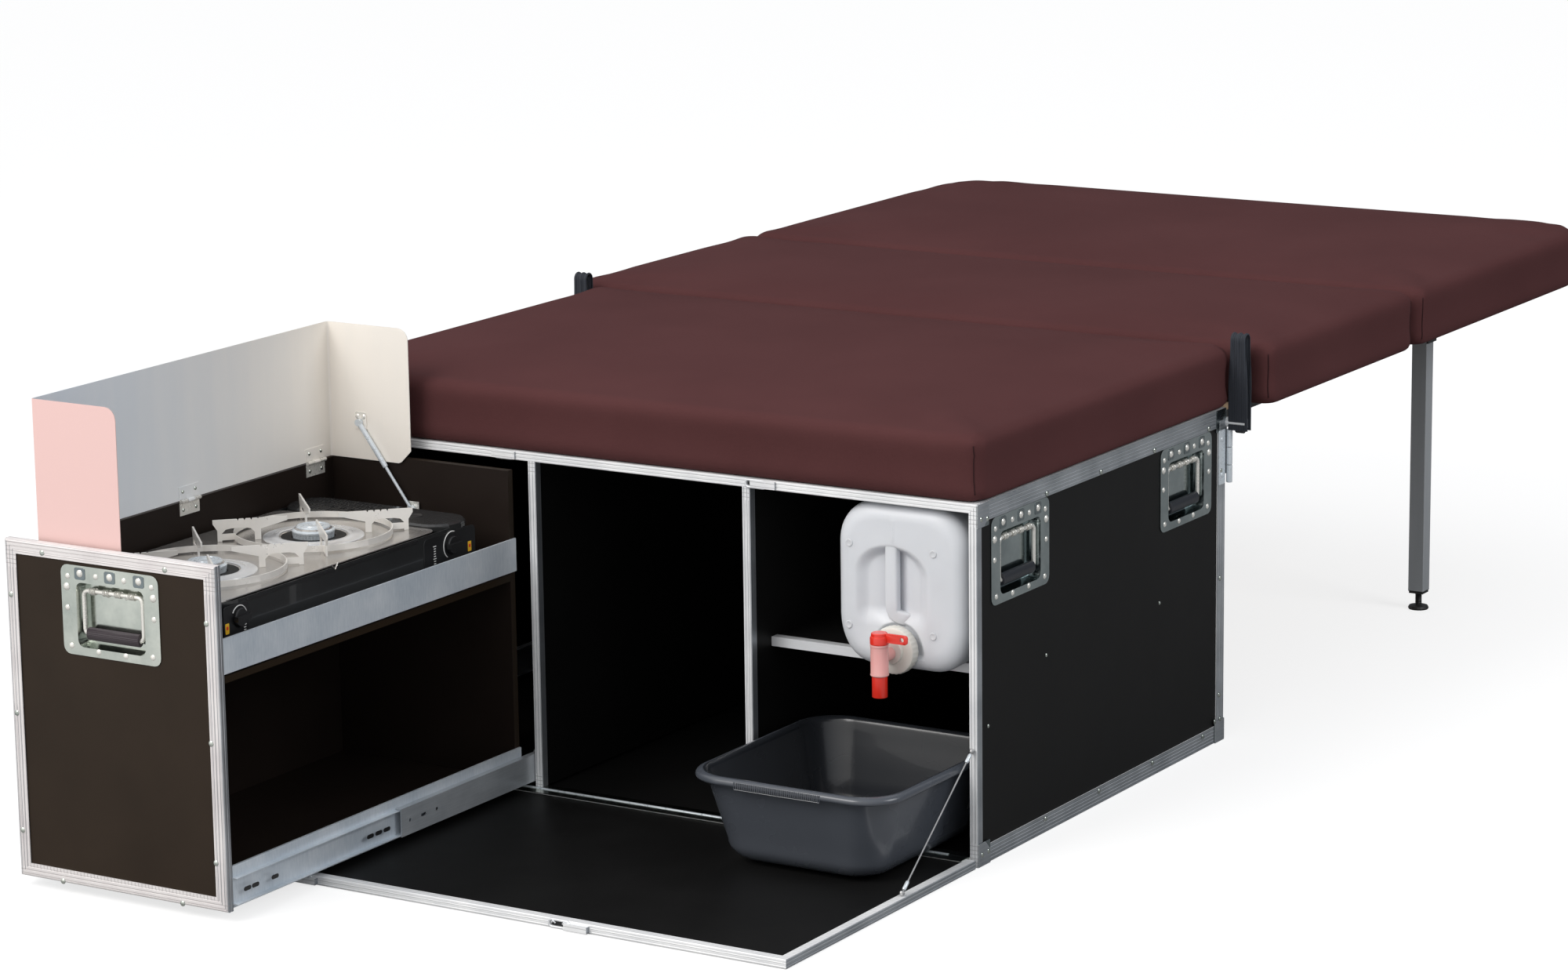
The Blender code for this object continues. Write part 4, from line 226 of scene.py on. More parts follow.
# One socket of a shader tree, with arithmetic that adds the nodes it needs.
class Wire:
    def __init__(self, tree, socket=None):
        self.tree = tree
        self.socket = socket

    def make(self, kind, settings=None, sockets=None, out=0):
        node = self.tree.nodes.new("ShaderNode" + kind)
        for name, value in (settings or {}).items():
            if name == "stops":
                for index, (where, colour) in enumerate(value):
                    ramp = node.color_ramp.elements
                    stop = ramp[index] if index < 2 else ramp.new(where)
                    stop.position = where
                    stop.color = (*colour, 1.0)
            else:
                setattr(node, name, value)
        for name, value in (sockets or {}).items():
            if isinstance(value, Wire):
                self.tree.links.new(value.socket, node.inputs[name])
            else:
                node.inputs[name].default_value = value
        return Wire(self.tree, node.outputs[out])

    def maths(self, operation, first, second=0.0):
        return self.make("Math", {"operation": operation}, {0: first, 1: second})

    def __add__(self, other):
        return self.maths("ADD", self, other)

    def __sub__(self, other):
        return self.maths("SUBTRACT", self, other)

    def __rsub__(self, other):
        return self.maths("SUBTRACT", other, self)

    def __mul__(self, other):
        return self.maths("MULTIPLY", self, other)

    def above(self, level):
        return self.maths("GREATER_THAN", self, level)

    def below(self, level):
        return self.maths("LESS_THAN", self, level)

    def blendTo(self, first, second):
        return self.make("Mix", {"data_type": "RGBA"}, {0: self, 6: first, 7: second}, 2)

    def coords(self):
        return self.make("TexCoord", out=3)

    def steep(self):
        facing = self.make("NewGeometry", out=1)
        return [self.maths("ABSOLUTE", part) for part in self.axes(facing)]

    def axes(self, vector):
        return [self.make("SeparateXYZ", None, {0: vector}, out) for out in range(3)]

    def stretched(self, vector, scale):
        return self.make("VectorMath", {"operation": "MULTIPLY"}, {0: vector, 1: scale})

    def noise(self, vector, scale, detail=3.0, roughness=0.55):
        sockets = {"Vector": vector, "Scale": scale, "Detail": detail, "Roughness": roughness}
        return self.make("TexNoise", None, sockets)

    def fit(self, low, high, start=0.0, end=1.0):
        return self.make("MapRange", None, {0: self, 1: start, 2: end, 3: low, 4: high})

    def bump(self, strength, distance):
        sockets = {"Strength": strength, "Distance": distance, "Height": self}
        return self.make("Bump", None, sockets)


def newShader(name):
    material = bpy.data.materials.new(name)
    material.use_nodes = True
    tree = material.node_tree
    kit = Wire(tree)
    return (material, tree.nodes["Principled BSDF"]), kit, kit.coords()


# Principled inputs: the three common ones, then others by name. Plain values are set, wires linked.
def dress(target, colour, rough, normal=None, others=None):
    material, shader = target
    inputs = {"Base Color": colour, "Roughness": rough, "Normal": normal, **(others or {})}
    for name, value in inputs.items():
        if isinstance(value, Wire):
            material.node_tree.links.new(value.socket, shader.inputs[name])
        elif value is not None:
            shader.inputs[name].default_value = value
    return material


def grey(value):
    return (value, value, value, 1.0)


def toned(tint, share=1.0):
    return tuple(min(1.0, share * part) for part in tint) + (1.0,)


# Film-faced plywood: a faint mesh print on the film, and plies on faces that cross the thickness.
def filmBoard(name, axis, tint, sheen=0.42, ply=1.0):
    target, kit, spot = newShader(name)
    edge = kit.steep()[axis].below(0.5)
    plies = kit.maths("SINE", kit.axes(spot)[axis] * 4600.0).fit(0.0, 1.0, -1.0, 1.0)
    wear = kit.noise(spot, 7.0, 5.0)
    speck = kit.noise(spot, 420.0, 2.0)
    film = wear.blendTo(toned(tint, 0.75), toned(tint, 1.3))
    wood = plies.blendTo(toned((0.045, 0.028, 0.017), ply), toned((0.13, 0.085, 0.05), ply))
    rough = wear.fit(sheen - 0.08, sheen + 0.10) + speck * 0.06
    relief = (speck * 0.5 + wear).bump(0.12, 0.0006)
    return dress(target, edge.blendTo(film, wood), rough, relief, {"Specular IOR Level": 0.12})


# Bare or plated metal: a cloudy tint, fine drawn lines along one axis and small scratches.
def metalSheet(name, light, dark, rough, lines, strength=0.1, metal=1.0, height=0.0001):
    target, kit, spot = newShader(name)
    cloud = kit.noise(spot, 11.0, 4.0)
    grain = kit.noise(kit.stretched(spot, lines), 60.0, 4.0, 0.7)
    speck = kit.noise(spot, 240.0, 2.0)
    mixed = (cloud * 0.6 + grain * 0.4).fit(0.0, 1.0, 0.3, 0.7)
    gloss = grain.fit(rough - 0.07, rough + 0.12) + speck * 0.05
    relief = grain.bump(strength, height)
    colour = mixed.blendTo(toned(dark), toned(light))
    return dress(target, colour, gloss, relief, {"Metallic": metal})


# Extruded edge profile: drawn aluminium with fine grooves along its length. Beyond the two heights
# the rail lies flat and its grooves are level; between them it stands and they are upright.
def groovedRail(name, light, dark, heights):
    target, kit, spot = newShader(name)
    x, y, z = kit.axes(spot)
    faceX, faceY, faceZ = kit.steep()
    level = z.below(heights[0]) + z.above(heights[1])
    upright = x * faceY + y * faceX
    measure = upright + (z - upright) * level + y * faceZ
    groove = kit.maths("SINE", measure * 1030.0).fit(0.0, 1.0, 0.72, 0.96)
    cloud = kit.noise(spot, 14.0, 4.0).fit(0.0, 1.0, 0.35, 0.65)
    grain = kit.noise(spot, 260.0, 3.0)
    front = cloud.blendTo(toned(dark), toned(light))
    # Painted shade: the rail's sides, faces that look along x, get a darker, bluer copy of the
    # aluminium.
    flank = cloud.blendTo((0.28, 0.305, 0.33, 1.0), (0.42, 0.45, 0.48, 1.0))
    # Painted shade in the grooves: their colour is pulled toward a darker tint.
    colour = (groove * 0.75).blendTo(faceX.blendTo(front, flank), toned(dark, 0.55))
    rough = grain.fit(0.26, 0.42) + groove * 0.15
    relief = (grain * 0.12 - groove).bump(0.22, 0.0005)
    return dress(target, colour, rough, relief, {"Metallic": faceX.fit(0.12, 0.75)})


# Windscreen sheet with painted reflections: cool at its middle, warm at the rear wing and rosy at
# the front wing.
def reflectionTintedSheet(name, front, rear):
    target, kit, spot = newShader(name)
    y = kit.axes(spot)[1]
    cloud = kit.noise(kit.stretched(spot, (1.0, 1.0, 0.15)), 22.0, 4.0)
    along = y.fit(0.0, 1.0, front + 0.05, rear) + (cloud - 0.5) * 0.25
    coolReflection = cloud.blendTo((0.70, 0.765, 0.83, 1.0), (0.79, 0.845, 0.90, 1.0))
    warmReflection = cloud.blendTo((0.87, 0.82, 0.75, 1.0), (0.93, 0.88, 0.81, 1.0))
    # Painted reflections: the rosy front wing and the cool-to-warm grade along the sheet.
    colour = y.below(front + 0.004).blendTo(along.blendTo(coolReflection, warmReflection), (0.82, 0.56, 0.53, 1.0))
    relief = cloud.bump(0.08, 0.0003)
    others = {"Metallic": cloud.fit(0.06, 0.14)}
    return dress(target, colour, cloud.fit(0.34, 0.48), relief, others)


# Moulded plastic: an even tint with slow clouds and a fine skin.
# Where a hollow's middle is given, the faces that look toward it are darker: painted shade inside
# the hollow.
def mouldedPlastic(name, tint, rough, inner=None, coat=0.0, skin=300.0, shadedHollow=None):
    target, kit, spot = newShader(name)
    cloud = kit.noise(spot, 9.0, 3.0)
    colour = cloud.blendTo(toned(tint, 0.88), toned(tint, 1.08))
    # Painted shade: faces that look toward the hollow's middle get a much darker tint.
    if shadedHollow:
        outward = kit.make("VectorMath", {"operation": "SUBTRACT"}, {0: spot, 1: shadedHollow})
        facing = kit.make("NewGeometry", out=1)
        away = kit.make("VectorMath", {"operation": "DOT_PRODUCT"}, {0: outward, 1: facing}, 1)
        colour = away.below(-0.002).blendTo(colour, toned(tint, 0.30))
    others = {"Coat Weight": coat}
    if inner:
        others["Subsurface Weight"], others["Subsurface Radius"] = inner
        others["Subsurface Scale"] = 0.02
    relief = kit.noise(spot, skin, 2.0).bump(0.10, 0.0003)
    return dress(target, colour, cloud.fit(rough - 0.05, rough + 0.07), relief, others)


# Woven cover: crossed threads from two sine waves, with slow shade changes.
def wovenCloth(name, light, dark, threads, sheen):
    target, kit, spot = newShader(name)
    x, y, z = kit.axes(spot)
    weave = kit.maths("SINE", (x + z) * threads) * kit.maths("SINE", (y - z) * threads)
    fuzz = kit.noise(spot, 330.0, 3.0)
    shade = (kit.noise(spot, 3.5, 5.0) * 0.7 + fuzz * 0.3).fit(0.0, 1.0, 0.35, 0.65)
    relief = (weave * 0.5 + fuzz * 1.2).bump(0.35, 0.0007)
    others = {
        "Specular IOR Level": 0.08, "Sheen Weight": sheen, "Sheen Roughness": 0.5,
        "Sheen Tint": toned(light),
    }
    return dress(
        target, shade.blendTo(toned(dark), toned(light)), fuzz.fit(0.82, 0.97), relief, others
    )


# Strap webbing: lengthwise ribs and cross picks from two sine waves.
def ribbedWebbing(name, tint):
    target, kit, spot = newShader(name)
    x, y, z = kit.axes(spot)
    ribs = kit.maths("SINE", x * 2600.0)
    picks = kit.maths("SINE", (z + y) * 5200.0)
    fuzz = kit.noise(spot, 500.0, 2.0)
    shade = ribs.fit(0.0, 0.8, -1.0, 1.0) + fuzz * 0.2
    colour = shade.blendTo(toned(tint, 0.5), toned(tint, 1.7))
    return dress(target, colour, fuzz.fit(0.6, 0.85), (ribs + picks * 0.3).bump(0.5, 0.0005))


# Bare birch: stretched grain on the faces, thin plies on the edges.
def birchBoard(name):
    target, kit, spot = newShader(name)
    grain = kit.noise(kit.stretched(spot, (3.0, 28.0, 28.0)), 9.0, 5.0, 0.6)
    plies = kit.maths("SINE", kit.axes(spot)[2] * 4200.0).fit(0.0, 1.0, -1.0, 1.0)
    flank = kit.steep()[2].below(0.5)
    face = grain.blendTo((0.42, 0.28, 0.16, 1.0), (0.66, 0.49, 0.32, 1.0))
    side = plies.blendTo((0.28, 0.17, 0.09, 1.0), (0.6, 0.43, 0.26, 1.0))
    return dress(target, flank.blendTo(face, side), grain.fit(0.45, 0.65), grain.bump(0.1, 0.0004))


# Bed leg: drawn aluminium above a height, black plastic below it.
def splitMetal(name, metalTint, otherTint, level, rough):
    target, kit, spot = newShader(name)
    foot = kit.axes(spot)[2].below(level)
    grain = kit.noise(kit.stretched(spot, (1.0, 1.0, 0.03)), 90.0, 3.0)
    metal = grain.blendTo(toned(metalTint, 0.85), toned(metalTint))
    colour = foot.blendTo(metal, toned(otherTint))
    gloss = foot * 0.2 + grain.fit(rough, rough + 0.15)
    return dress(target, colour, gloss, grain.bump(0.1, 0.0002), {"Metallic": (1.0 - foot) * 0.35})


sideFilm = (0.0068, 0.0067, 0.0067)
brownFilm = (0.027, 0.0185, 0.0125)
innerFilm = (0.016, 0.0115, 0.0095)
even = (1.0, 1.0, 1.0)
fine = (0.5, 0.5, 0.5)
# Metals: name, light and dark tint, roughness, stretch of the lines, their strength, metalness.
metals = {
    "bar": (
        "sideBarAluminium", (0.80, 0.84, 0.88), (0.50, 0.57, 0.64), 0.34, (0.8, 6.0, 0.8), 0.08,
        0.3,
    ),
    "zinc": ("zincSteel", (0.66, 0.69, 0.63), (0.36, 0.40, 0.37), 0.14, fine, 0.06),
    # Painted shade: a darker, bluer copy of the zinc steel for the dishes on the box's sides.
    "shadedSideZinc": (
        "shadedSideDishZinc", (0.44, 0.50, 0.50), (0.20, 0.24, 0.25), 0.10, (0.3, 0.3, 0.3), 0.05,
    ),
    "bail": ("bailSteel", (0.86, 0.84, 0.78), (0.70, 0.69, 0.65), 0.22, fine, 0.05, 0.45),
    "strip": (
        "plainAluminium", (0.84, 0.85, 0.87), (0.72, 0.74, 0.76), 0.32, (0.3, 6.0, 6.0), 0.08, 0.3,
    ),
    "ring": ("chromeRing", (0.88, 0.89, 0.90), (0.76, 0.77, 0.79), 0.14, even, 0.04, 0.6),
    "cornerSteel": ("cornerSteel", (0.26, 0.30, 0.31), (0.15, 0.18, 0.19), 0.20, even, 0.08),
    "steel": (
        "plainSteel", (0.74, 0.79, 0.83), (0.60, 0.65, 0.69), 0.24, (0.3, 2.0, 2.0), 0.1, 0.4,
    ),
    "slide": (
        "slideZinc", (0.62, 0.65, 0.68), (0.40, 0.43, 0.46), 0.28, (9.0, 0.3, 9.0), 0.12, 0.5,
        0.0002,
    ),
    "stovePlate": (
        "polishedStainless", (0.56, 0.535, 0.505), (0.46, 0.44, 0.42), 0.16, (0.4, 6.0, 1.0), 0.03,
        0.8,
    ),
    "support": ("supportSteel", (0.86, 0.83, 0.78), (0.74, 0.72, 0.69), 0.26, fine, 0.04, 0.3),
    "cable": ("cableSteel", (0.60, 0.60, 0.60), (0.42, 0.42, 0.42), 0.30, even, 0.25, 1.0, 0.0002),
}
look = {key: metalSheet(*values) for key, values in metals.items()}
for index, axis in enumerate("XYZ"):
    look["board" + axis] = filmBoard("filmBoard" + axis, index, sideFilm)
    look["drawer" + axis] = filmBoard("drawerBoard" + axis, index, innerFilm, 0.36, 0.25)
look.update({
    "drawerFront": filmBoard("drawerFrontBoard", 1, brownFilm, 0.38),
    "rail": groovedRail("edgeAluminium", (0.93, 0.935, 0.94), (0.80, 0.81, 0.825), (0.036, 0.497)),
    "drawerRail": groovedRail(
        "drawerEdgeAluminium", (0.82, 0.79, 0.78), (0.70, 0.66, 0.66), (0.030, 0.466)
    ),
    "screen": reflectionTintedSheet("screenAluminium", -1.1061, -0.4268),
    "enamel": mouldedPlastic("blackEnamel", (0.024, 0.0245, 0.025), 0.24, coat=0.4, skin=80.0),
    "black": mouldedPlastic("blackPlastic", (0.013, 0.013, 0.014), 0.38),
    "powder": mouldedPlastic("powderBlack", (0.018, 0.018, 0.018), 0.55, skin=600.0),
    "grip": mouldedPlastic("gripRubber", (0.030, 0.020, 0.026), 0.42),
    # Painted shade: a darker, bluer copy of the grip rubber for the handles on the box's sides.
    "shadedSideGrip": mouldedPlastic("shadedSideGripRubber", (0.016, 0.018, 0.024), 0.40),
    "hdpe": mouldedPlastic(
        "naturalPolyethylene", (0.70, 0.72, 0.755), 0.38, (0.35, (0.9, 0.95, 1.0))
    ),
    "tapPink": mouldedPlastic("tapPink", (0.80, 0.40, 0.38), 0.26, (0.25, (1.0, 0.4, 0.4)), 0.3),
    "tapRed": mouldedPlastic("tapRed", (0.78, 0.035, 0.02), 0.24, coat=0.4),
    "capWhite": mouldedPlastic("capWhite", (0.76, 0.74, 0.68), 0.40, (0.15, (1.0, 0.9, 0.8))),
    # The bowl's inner faces carry painted shade.
    "bowl": mouldedPlastic(
        "bowlGrey", (0.068, 0.076, 0.091), 0.26, coat=0.25, shadedHollow=(0.394, -0.4275, 0.1497)
    ),
    "white": mouldedPlastic("markWhite", (0.78, 0.78, 0.76), 0.4),
    "yellow": mouldedPlastic("tagYellow", (0.85, 0.50, 0.03), 0.35),
    "redMark": mouldedPlastic("tagRed", (0.72, 0.05, 0.02), 0.35),
    "cloth": wovenCloth(
        "mattressCloth", (0.092, 0.035, 0.0355), (0.078, 0.029, 0.0295), 5200.0, 0.02
    ),
    "seam": wovenCloth("seamThread", (0.040, 0.018, 0.019), (0.026, 0.011, 0.012), 9000.0, 0.1),
    "webbing": ribbedWebbing("strapWebbing", (0.018, 0.022, 0.031)),
    "birch": birchBoard("birchPlywood"),
    "leg": splitMetal("legAluminium", (0.42, 0.44, 0.46), (0.014, 0.014, 0.014), 0.034, 0.28),
})
print("materials made")

nodeLooks = {
    "boardX": ("box_left", "box_right", "divider_left", "divider_right"),
    "boardY": ("box_rear",),
    "boardZ": ("box_floor", "box_top", "canister_shelf", "flap_panel"),
    "drawerX": ("drawer_left",),
    "drawerY": ("drawer_rear",),
    "drawerZ": ("drawer_floor", "stove_shelf"),
    "drawerFront": ("drawer_front",),
    "rail": ("edge_frame", "flap_frame"),
    "drawerRail": ("drawer_front_frame",),
    "bar": ("side_bar", "left_runner", "right_runner"),
    "slide": ("slide_outer_left", "slide_outer_right", "slide_middle_left", "slide_middle_right"),
    "zinc": ("drawer_handle_dish", "piano_hinge"),
    "bail": ("front_screen_hinge", "rear_screen_hinge", "stay_bracket"),
    "shadedSideZinc": ("left_front_dish", "left_rear_dish", "right_front_dish", "right_rear_dish"),
    "steel": ("stay_rod", "stay_tube"),
    "screen": ("windscreen",),
    "enamel": ("stove_body",),
    "stovePlate": ("stove_top",),
    "support": ("front_pan_support", "rear_pan_support"),
    "black": ("front_knob", "rear_knob"),
    "powder": ("bed_frame",),
    "birch": ("bed_board",),
    "leg": ("left_leg", "right_leg"),
    "cable": ("flap_cable",),
    "hdpe": ("canister",),
    "tapPink": ("tap_body",),
    "tapRed": ("tap_lever",),
    "bowl": ("bowl",),
}
for lookName, names in nodeLooks.items():
    for name in names:
        nodes[name].data.materials.clear()
        nodes[name].data.materials.append(look[lookName])


# Edges of a solid broken by a fine bevel, without touching its mesh.
def softenEdges(names, width):
    for name in names:
        bevel = nodes[name].modifiers.new("edges", "BEVEL")
        bevel.width = width
        bevel.segments = 2
        bevel.limit_method = "ANGLE"
        bevel.angle_limit = np.radians(40)


softenEdges(("side_bar", "bed_frame", "bed_board", "front_knob", "rear_knob"), 0.0004)
softenEdges(("front_pan_support", "rear_pan_support"), 0.0003)
softenEdges(("left_leg", "right_leg"), 0.0006)
print("nodes dressed")


# A closed outline walked in even steps.
def evenly(outline, count):
    closed = np.vstack([outline, outline[:1]])
    length = np.concatenate([[0.0], np.cumsum(np.linalg.norm(np.diff(closed, axis=0), axis=1))])
    wanted = np.linspace(0.0, length[-1], count, endpoint=False)
    return np.stack([np.interp(wanted, length, part) for part in closed.T], axis=1)


def meshPoints(mesh):
    points = np.empty(len(mesh.vertices) * 3)
    mesh.vertices.foreach_get("co", points)
    return points.reshape(-1, 3)


# A modifier's result kept as the piece's own mesh.
def keepModifiers(piece):
    graph = bpy.context.evaluated_depsgraph_get()
    mesh = bpy.data.meshes.new_from_object(piece.evaluated_get(graph))
    piece.modifiers.clear()
    piece.data = mesh


# Blown up as closed cloth with its underside pinned, each point moving no further than the cap.
def inflate(piece, bottom, cap, pressure):
    start = meshPoints(piece.data)
    pinned = piece.vertex_groups.new(name="pinned")
    pinned.add(np.flatnonzero(start[:, 2] < bottom + 0.003).tolist(), 1.0, "REPLACE")
    cloth = piece.modifiers.new("swell", "CLOTH")
    cloth.settings.vertex_group_mass = "pinned"
    cloth.settings.use_pressure = True
    cloth.settings.uniform_pressure_force = pressure
    cloth.settings.effector_weights.gravity = 0.0
    cloth.settings.quality = 4
    scene = bpy.context.scene
    for step in range(1, 21):
        scene.frame_set(step)
    graph = bpy.context.evaluated_depsgraph_get()
    moved = meshPoints(piece.evaluated_get(graph).data) - start
    reach = np.linalg.norm(moved, axis=1)[:, None]
    ended = start + moved * np.minimum(1.0, cap / np.maximum(reach, 1e-9))
    piece.modifiers.clear()
    scene.frame_set(1)
    ended[:, 2] = np.maximum(ended[:, 2], bottom)
    piece.data.vertices.foreach_set("co", ended.ravel())
    piece.data.update()


# A foam section starts as stacked outlines. Its side draws in at half height by a sine,
# and its top rises to the middle with the square of the distance from there.
foam = {
    "inset": (-0.0045, 0.0015),
    "edge": 0.015,
    "thickness": 0.0965,
    "crown": 0.011,
    "draw": 0.003,
    "voxel": 0.011,
    "cap": 0.006,
    "pressure": 4.0,
}
sections = (
    ("mattressFront", "mattress_front", (0.030,) * 4),
    ("mattressMiddle", "mattress_middle", (0.030,) * 4),
    ("mattressRear", "mattress_rear", (0.130, 0.130, 0.030, 0.030)),
)
foamPieces = {}
for name, node, radii in sections:
    low, high = corners(node)
    low[:2] += foam["inset"]
    high[:2] -= foam["inset"]
    bottom = low[2]
    top = bottom + foam["thickness"]
    halfSpan = (high[1] - low[1]) / 2
    turns = np.linspace(0.0, np.pi / 2, 5)
    edge = foam["edge"]
    foot = edge * 0.5
    profile = [(halfSpan * 0.6, bottom), (foot, bottom)]
    profile += [(foot * (1 - np.sin(a)), bottom + foot * (1 - np.cos(a))) for a in turns]
    for share in np.linspace(0.15, 0.85, 5):
        rise = bottom + foot + share * (foam["thickness"] - edge * 1.5)
        profile.append((foam["draw"] * np.sin(np.pi * share), rise))
    profile += [(edge * (1 - np.cos(a)), top - edge * (1 - np.sin(a))) for a in turns]
    for share in np.linspace(0.1, 0.95, 12):
        rise = top + foam["crown"] * (1 - (1 - share) ** 2)
        profile.append((edge + share * (halfSpan - edge), rise))
    rows = []
    for inset, height in profile:
        rounds = [max(radius - inset, 0.004) for radius in radii]
        rows.append(layer(cornerRect(low[:2] + inset, high[:2] - inset, rounds, 6), height))
    x, y = ((low + high) / 2)[:2]
    grid = capped(rows, (x, y, bottom), (x, y, top + foam["crown"]))
    piece = buildPiece(name, [grid], "cloth", "box", 180)
    remesh = piece.modifiers.new("even", "REMESH")
    remesh.mode = "VOXEL"
    remesh.voxel_size = foam["voxel"]
    remesh.use_smooth_shade = True
    keepModifiers(piece)
    inflate(piece, bottom, foam["cap"], foam["pressure"])
    soften = piece.modifiers.new("soften", "SMOOTH")
    soften.factor = 0.5
    soften.iterations = 2
    keepModifiers(piece)
    piece.data.materials.clear()
    piece.data.materials.append(look["cloth"])
    finer = piece.modifiers.new("finer", "SUBSURF")
    finer.levels = 1
    finer.render_levels = 1
    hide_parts(node)
    foamPieces[name] = piece
    print("foam section", name, "done")


# Points laid on a piece's skin.
def ontoSkin(piece, path):
    return np.array([piece.closest_point_on_mesh(Vector(spot))[1] for spot in path])


# Seams are threads laid up the corners and down the joint between two sections.
seam = {"radius": 0.0009, "low": 0.540, "high": 0.615}
seamPlaces = (
    ("frontCornerSeam", "mattressFront", 0.592, -0.405),
    ("middleCornerSeam", "mattressMiddle", 0.650, 0.418),
    ("leftFrontCornerSeam", "mattressFront", -0.592, -0.405),
    ("leftMiddleCornerSeam", "mattressMiddle", -0.650, 0.418),
    ("jointSeamMiddle", "mattressMiddle", 0.66, 0.9635),
    ("jointSeamRear", "mattressRear", 0.66, 0.992),
)
for name, section, x, y in seamPlaces:
    low = seam["low"] - (0.004 if "joint" in name else 0.0)
    spots = [(x, y, height) for height in np.linspace(low, seam["high"], 14)]
    thread = tubeAlong(ontoSkin(foamPieces[section], spots), seam["radius"], 6)
    buildPiece(name, [thread], "seam", "box", 180)
print("mattress done")


# A smooth step from 0 to 1 as a value crosses a band.
def eased(value, start, end):
    share = np.clip((value - start) / (end - start), 0.0, 1.0)
    return share * share * (3 - 2 * share)


# Blow-moulded canister. Its front is rings that shrink to the middle, pushed in by a relief:
# an arched scoop that deepens toward the bar by a bell curve, and a round seat for the cap.
canister = {
    "count": 240,
    "round": 0.060,
    "edge": 0.023,
    "rings": 70,
    "barX": 0.4410,
    "scoopLeft": 0.3800,
    "scoopRight": 0.5040,
    "scoopTop": 0.4560,
    "shallow": 0.0034,
    "deep": 0.011,
    "spread": 0.023,
    "capX": 0.452,
    "capZ": 0.3051,
    "capSeat": 0.046,
    "capDepth": 0.009,
    "hang": 0.010,
    "around": 0.006,
    "ribX": 0.4448,
    "ribHalf": 0.0016,
    "ribTall": 0.0012,
}
canLow, canHigh = corners("canister")
canMiddle = (canLow + canHigh) / 2
canSize = canHigh - canLow


def canRelief(x, z):
    arch = (canister["scoopRight"] - canister["scoopLeft"]) / 2
    middle = (canister["scoopRight"] + canister["scoopLeft"]) / 2
    crownZ = canister["scoopTop"] - arch * 0.75
    above = np.maximum(z - crownZ, 0.0) / 0.75
    inside = 1 - eased(np.hypot(x - middle, above), arch * 0.66, arch)
    bell = np.exp(-(((x - canister["barX"]) / canister["spread"]) ** 2))
    middleDeep = eased(z, 0.335, 0.362) * (1 - eased(z, 0.445, 0.456))
    deep = (canister["deep"] * bell + canister["around"]) * middleDeep
    scoop = inside * (canister["shallow"] * eased(z, 0.300, 0.345) + deep)
    seatDistance = np.hypot(x - canister["capX"], z - canister["capZ"])
    seat = 1 - eased(seatDistance, canister["capSeat"] * 0.72, canister["capSeat"])
    rib = canister["ribTall"] * np.exp(-(((x - canister["ribX"]) / canister["ribHalf"]) ** 2))
    rib = rib * eased(z, 0.455, 0.466) * (1 - eased(z, 0.492, 0.500))
    return np.maximum(scoop, seat * canister["capDepth"]) - rib


rows = []
for end, face, way in (("rear", canHigh[1], -1.0), ("front", canLow[1], 1.0)):
    count = canister["rings"] if end == "front" else 6
    ringRows = []
    for turn in np.linspace(0.0, np.pi / 2, 9):
        inset = canister["edge"] * (1 - np.cos(turn))
        depth = canister["edge"] * (1 - np.sin(turn))
        wide, tall = canSize[0] - 2 * inset, canSize[2] - 2 * inset
        outline = roundRect(wide, tall, canister["round"] - inset * 0.6, 10)
        ringRows.append((evenly(outline, canister["count"]), face + way * depth))
    flat = ringRows[-1][0]
    shares = np.linspace(0.0, 1.0, count, endpoint=False)[1:]
    ringRows += [(flat * (1 - share), face) for share in (*shares, 1.0)]
    block = []
    for outline, y in ringRows:
        x, z = (canMiddle[[0, 2]] + outline).T
        push = canRelief(x, z) if end == "front" and y == face else 0.0
        depth = y + way * push * np.ones(len(x))
        hang = eased(-depth, 0.347, 0.366) * eased(canMiddle[2] - z, 0.050, 0.105)
        block.append(np.column_stack([x, depth, z - canister["hang"] * hang]))
    rows += block[::-1] if end == "rear" else block
canPiece = buildPiece("canisterBody", [np.array(rows)], "hdpe", "water_canister", 40)
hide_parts("canister")

# The upright bar across the scoop, whose foot bends to the right.
barPath = np.array([
    (0.4410, -0.3800, 0.4700), (0.4410, -0.3815, 0.4560), (0.4410, -0.3818, 0.4300),
    (0.4410, -0.3818, 0.4000), (0.4410, -0.3818, 0.3720), (0.4412, -0.3815, 0.3600),
    (0.4440, -0.3805, 0.3530), (0.4520, -0.3785, 0.3490), (0.4600, -0.3760, 0.3470),
    (0.4660, -0.3725, 0.3460),
])
barSection = roundRect(0.0195, 0.0140, 0.0035, 3)
out = np.array([0.0, -1.0, 0.0])
barRows = []
for spot, way in zip(barPath, np.gradient(barPath, axis=0)):
    across = unit(np.cross(out, way))
    barRows.append(spot + barSection @ (across, out))
bar = capped(barRows, barPath[0], barPath[-1])
buildPiece("canisterBar", [bar], "hdpe", "water_canister", 40)
bossProfile = [
    (0.0, 0.0009), (0.0028, 0.0008), (0.0046, 0.0016), (0.0056, 0.0012), (0.0062, -0.001),
]
bossPlaces = ((0.3733, 0.4518), (0.511, 0.4498), (0.5102, 0.3299), (0.3719, 0.3317))
bossSpots = [((x, canLow[1] + 0.0002, z), (0, -1, 0)) for x, z in bossPlaces]
bosses = stamp(turned(bossProfile, (0, 0, 0), 18), bossSpots)
buildPiece("canisterBosses", bosses, "hdpe", "water_canister")
print("canister done")

# Tap: turned parts on the cap's axis and on the upright barrel's axis. The cap's rim has ridges
# by the sign of a cosine round it.
tap = {"x": 0.452, "z": 0.3051, "y": -0.440, "capFace": -0.3885}
capRows = (
    (0.0, 0.0, 0), (0.034, 0.0, 0), (0.0352, 0.0015, 1), (0.0352, 0.0125, 1), (0.0335, 0.0155, 0),
    (0.0318, 0.0165, 0), (0.0185, 0.0168, 0), (0.0175, 0.0215, 0), (0.0120, 0.0225, 0),
    (0.0, 0.0225, 0),
)


def capRidge(turn):
    return 0.985 * (1 + 0.012 * np.sign(np.cos(turn * 30)))


